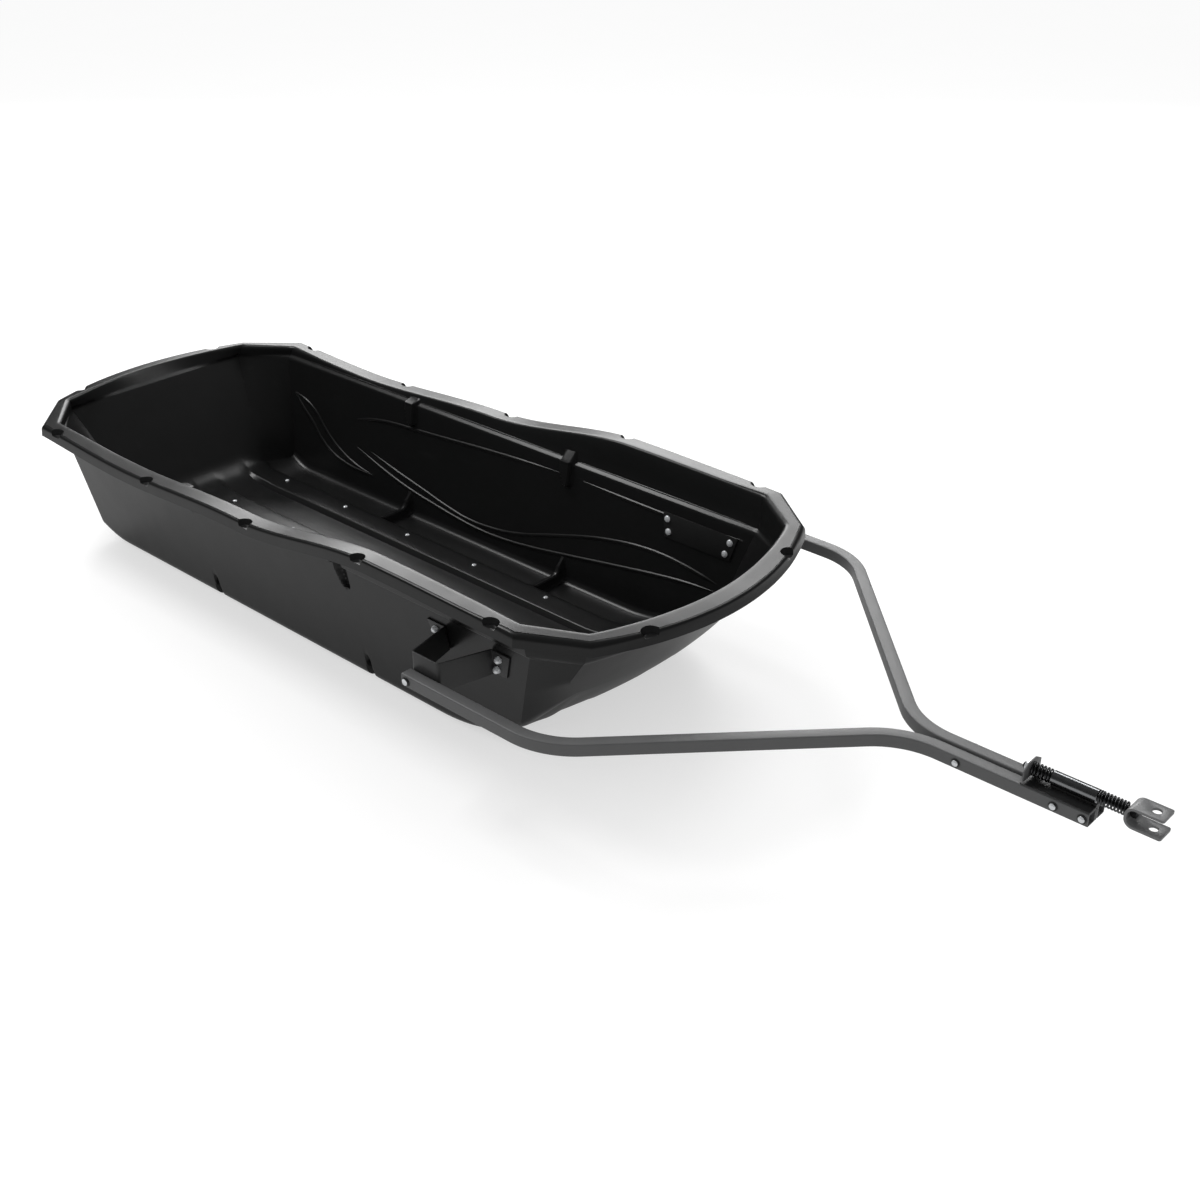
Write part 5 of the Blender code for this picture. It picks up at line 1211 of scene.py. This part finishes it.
def retainerPlate():
    # a plate with cut shoulders, pressed with its edges eased
    half, high, low, cut = retainer["half"], retainer["top"], retainer["foot"], retainer["cut"]
    shoulder = high - cut * retainer["slope"]
    outline = ((-half, low), (half, low), (half, shoulder), (half - cut, high), (-half + cut, high), (-half, shoulder))
    turn = Matrix(((0.0, 0.0, 1.0), (1.0, 0.0, 0.0), (0.0, 1.0, 0.0))).to_4x4()
    spot = Matrix.Translation((retainerFront - retainer["sheet"], 0.0, hitch["rodZ"])) @ turn
    return put(slab(outline, retainer["sheet"], retainer["edge"]), spot)


nutFront = retainerFront - retainer["sheet"] - clear
nut = put(lockNut(rod["nut"], rod["nutHeight"], rod["radius"]), rodSpot(nutFront) @ Matrix.Rotation(math.pi, 4, "X"))
addPiece("drawRod", drawRod(nutFront - rod["nutHeight"] - rod["tail"]), springSteel, "draw_bar",
         "draw_rod")
addPiece("rodNut", nut, brightZinc, "draw_bar", "rod_nut")
addPiece("retainerPlate", retainerPlate(), frameGrey, "draw_bar", "retainer_plate")

# Each spring's last two points are where it is held to the tow bar and to the draw bar, in the sled's own frame
coil = {"wire": 0.0034, "mean": 0.0108, "closed": 1.06, "perTurn": 28}
springs = (
    ("rearSpring", "rear_spring", retainerFront, sleeveStart, 6, (1.1933, 0.0, 0.26), (1.1563, 0.0, 0.26)),
    ("frontSpring", "front_spring", clevisBack - hitch["frontSpring"], clevisBack, 9,
     (1.2742, 0.0, 0.26), (1.3262, 0.0, 0.26)),
)


def springMesh(start, end, turns):
    # round wire: a closed turn at each end and open turns between
    wire = coil["wire"]
    first, last = start + wire / 2 + clear, end - wire / 2 - clear
    tight = wire * coil["closed"]
    curve = wireCurve(wire / 2, 4)
    spline = curve.splines.new("POLY")
    spline.points.add(turns * coil["perTurn"])
    for i, knot in enumerate(spline.points):
        t = i / coil["perTurn"]
        if t < 1.0:
            x = first + tight * t
        elif t > turns - 1.0:
            x = last - tight * (turns - t)
        else:
            x = first + tight + (last - first - 2.0 * tight) * (t - 1.0) / (turns - 2.0)
        angle = 2.0 * math.pi * t
        knot.co = (x, coil["mean"] * math.cos(angle), hitch["rodZ"] + coil["mean"] * math.sin(angle), 1.0)
    return baked(curve)


for name, node, start, end, turns, fixedEnd, movingEnd in springs:
    spring = addPiece(name, springMesh(start, end, turns), springSteel, None, node)
    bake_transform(spring)
    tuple(fixedEnd)
    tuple(movingEnd)


def clevisStrip():
    # a strip bent to a U on its side, with round ears and a pin hole through both
    back, rise, sheet, half, outerBend = (clevisBack, *(clevis[key] for key in ("rise", "sheet", "half", "bend")))
    nose, mid, steps = back + clevis["length"], outerBend - sheet / 2, clevis["bendSteps"]
    bm = bmesh.new()
    path = [(nose, rise - sheet / 2)]
    for sign, order in ((1.0, range(steps + 1)), (-1.0, range(steps, -1, -1))):
        for i in order:
            turn = math.pi / 2 * i / steps
            path.append((back + outerBend - mid * math.sin(turn), sign * (rise - outerBend + mid * math.cos(turn))))
    path.append((nose, -rise + sheet / 2))
    verts = [bm.verts.new((x, -half, hitch["rodZ"] + z)) for x, z in path]
    edges = [bm.edges.new(pair) for pair in zip(verts[:-1], verts[1:])]
    made = bmesh.ops.extrude_edge_only(bm, edges=edges)["geom"]
    bmesh.ops.translate(bm, verts=only(BMVert, made), vec=(0.0, 2.0 * half, 0.0))
    strip = asMesh(bm)
    # a block as wide as the strip trims it: its front corners are the ears' rounds
    plan = bmesh.new()
    low, tall, side = hitch["rodZ"] - 0.06, 0.12, half + 0.0004
    face = plan.faces.new([plan.verts.new((x, y, low)) for x, y in (
        (back - 0.01, -side), (nose, -side), (nose, side), (back - 0.01, side))])
    roundCorners(plan, [v for v in face.verts if v.co.x > nose - 0.001], clevis["corner"], 10)
    pushed(plan, plan.faces[:], (0.0, 0.0, tall))
    holes = bmesh.new()
    for radius, count, depth, spot in (
        (clevis["pin"], 48, 0.1, Matrix.Translation((nose - clevis["pinBack"], 0.0, hitch["rodZ"]))),
        (rod["radius"] + 2.0 * clear, 32, 0.02, rodSpot(back)),
    ):
        bmesh.ops.create_cone(holes, cap_ends=True, segments=count, radius1=radius, radius2=radius, depth=depth,
                              matrix=spot)
    solid = baked(strip, (("INTERSECT", asMesh(plan)), ("DIFFERENCE", asMesh(holes))), (sheet, 0.0))
    bm = fromMesh(solid)
    bmesh.ops.remove_doubles(bm, verts=bm.verts, dist=0.00002)
    bevelEdges(bm, bentEdges(bm, 55.0), clevis["edge"])
    return bm


addPiece("clevisStrip", clevisStrip(), clevisGrey, "draw_bar", "clevis")
print("hitch built")

# Studio: a pale floor, an even white surround and three soft lamps
studio = {
    "floor": 0.46, "mottle": 0.005, "floorZ": -0.0005, "floorSize": 60.0,
    "lift": 0.56, "glossyLift": 0.21,  # the floor's own glow, as the camera and as mirroring parts see it
    "world": 0.86, "dim": 0.07,  # the surround's strength for plain light, and for reflections
    "middle": (0.0, 0.0, 0.15),
    "lamps": {  # azimuth and elevation in degrees, distance, width, height, radiance
        "backLamp": (222.0, 26.0, 5.0, 4.0, 1.5, 7.5),
        "rearLamp": (186.0, 50.0, 5.0, 1.8, 1.1, 7.0),
        "topLamp": (281.0, 53.0, 4.5, 1.3, 1.3, 14.0),
    },
}


def floorMaterial():
    g = Graph("paleFloor")
    seen = g.add("ShaderNodeLightPath", {}, {}, "Is Camera Ray")
    glossy = Signal(g, seen.socket.node.outputs["Is Glossy Ray"])
    low, high = studio["floor"] - studio["mottle"], studio["floor"] + studio["mottle"]
    diffuse = g.add("ShaderNodeBsdfDiffuse", {}, {"Color": g.mix(g.noise(3.0, 2.0), grey(low), grey(high))})
    glow = g.add("ShaderNodeEmission", {}, {
        "Color": (1.0, 1.0, 1.0, 1.0), "Strength": seen * studio["lift"] + glossy * studio["glossyLift"]})
    both = g.add("ShaderNodeAddShader", {}, {0: diffuse, 1: glow})
    g.add("ShaderNodeOutputMaterial", {}, {"Surface": both})
    return g.material


bm = bmesh.new()
bmesh.ops.create_grid(bm, x_segments=2, y_segments=2, size=studio["floorSize"],
                      matrix=Matrix.Translation((0.0, 0.0, studio["floorZ"])))
studioFloor = linked("studioFloor", asMesh(bm, "studioFloor", outwards=False))
studioFloor.data.materials.append(floorMaterial())

world = bpy.data.worlds.new("studioWorld")
bpy.context.scene.world = world
world.use_nodes = True
tree = world.node_tree
tree.nodes.clear()
lightPath = tree.nodes.new("ShaderNodeLightPath")


def raised(ray, level, before=None):
    # the surround is dim, and this raises it to a level for one kind of ray
    step = tree.nodes.new("ShaderNodeMath")
    step.operation = "MULTIPLY_ADD"
    tree.links.new(lightPath.outputs[ray], step.inputs[0])
    step.inputs[1].default_value = level - studio["dim"]
    step.inputs[2].default_value = studio["dim"]
    if before:
        tree.links.new(before, step.inputs[2])
    return step.outputs[0]


background = tree.nodes.new("ShaderNodeBackground")
background.inputs["Color"].default_value = (1.0, 1.0, 1.0, 1.0)
strength = raised("Is Camera Ray", 1.0, raised("Is Diffuse Ray", studio["world"]))
tree.links.new(strength, background.inputs["Strength"])
worldOut = tree.nodes.new("ShaderNodeOutputWorld")
tree.links.new(background.outputs[0], worldOut.inputs["Surface"])


def outwards(azimuth, elevation):
    # the direction of a lamp or the camera: azimuth 0 faces the sled's right side
    a, e = math.radians(azimuth), math.radians(elevation)
    return Vector((math.sin(a) * math.cos(e), -math.cos(a) * math.cos(e), math.sin(e)))


def softLamp(name, azimuth, elevation, distance, width, height, radiance):
    lamp = bpy.data.lights.new(name, "AREA")
    lamp.shape = "RECTANGLE"
    lamp.size, lamp.size_y = width, height
    lamp.energy = radiance * math.pi * width * height
    holder = linked(name, lamp)
    out = outwards(azimuth, elevation)
    holder.location = Vector(studio["middle"]) + out * distance
    holder.rotation_mode = "QUATERNION"
    holder.rotation_quaternion = out.to_track_quat("Z", "Y")
    holder.visible_camera = False
    return holder


[softLamp(name, *values) for name, values in studio["lamps"].items()]

camera = {"azimuth": 42.2984, "elevation": 29.0858, "lens": 48.103, "place": (2.0882, -2.0791, 1.7795),
          "sensor": 36.0, "clip": (0.05, 200.0)}
lens = bpy.data.cameras.new("studioCamera")
lens.lens = camera["lens"]
lens.sensor_width = camera["sensor"]
lens.clip_start, lens.clip_end = camera["clip"]
cameraObject = linked("studioCamera", lens)
back = outwards(camera["azimuth"], camera["elevation"])
right = (-back).cross(Vector((0.0, 0.0, 1.0))).normalized()
turn = Matrix((right, right.cross(-back), back)).transposed().to_4x4()
cameraObject.matrix_world = Matrix.Translation(camera["place"]) @ turn
bpy.context.scene.camera = cameraObject
bpy.context.scene.view_settings.view_transform = "Standard"
print("studio lit")
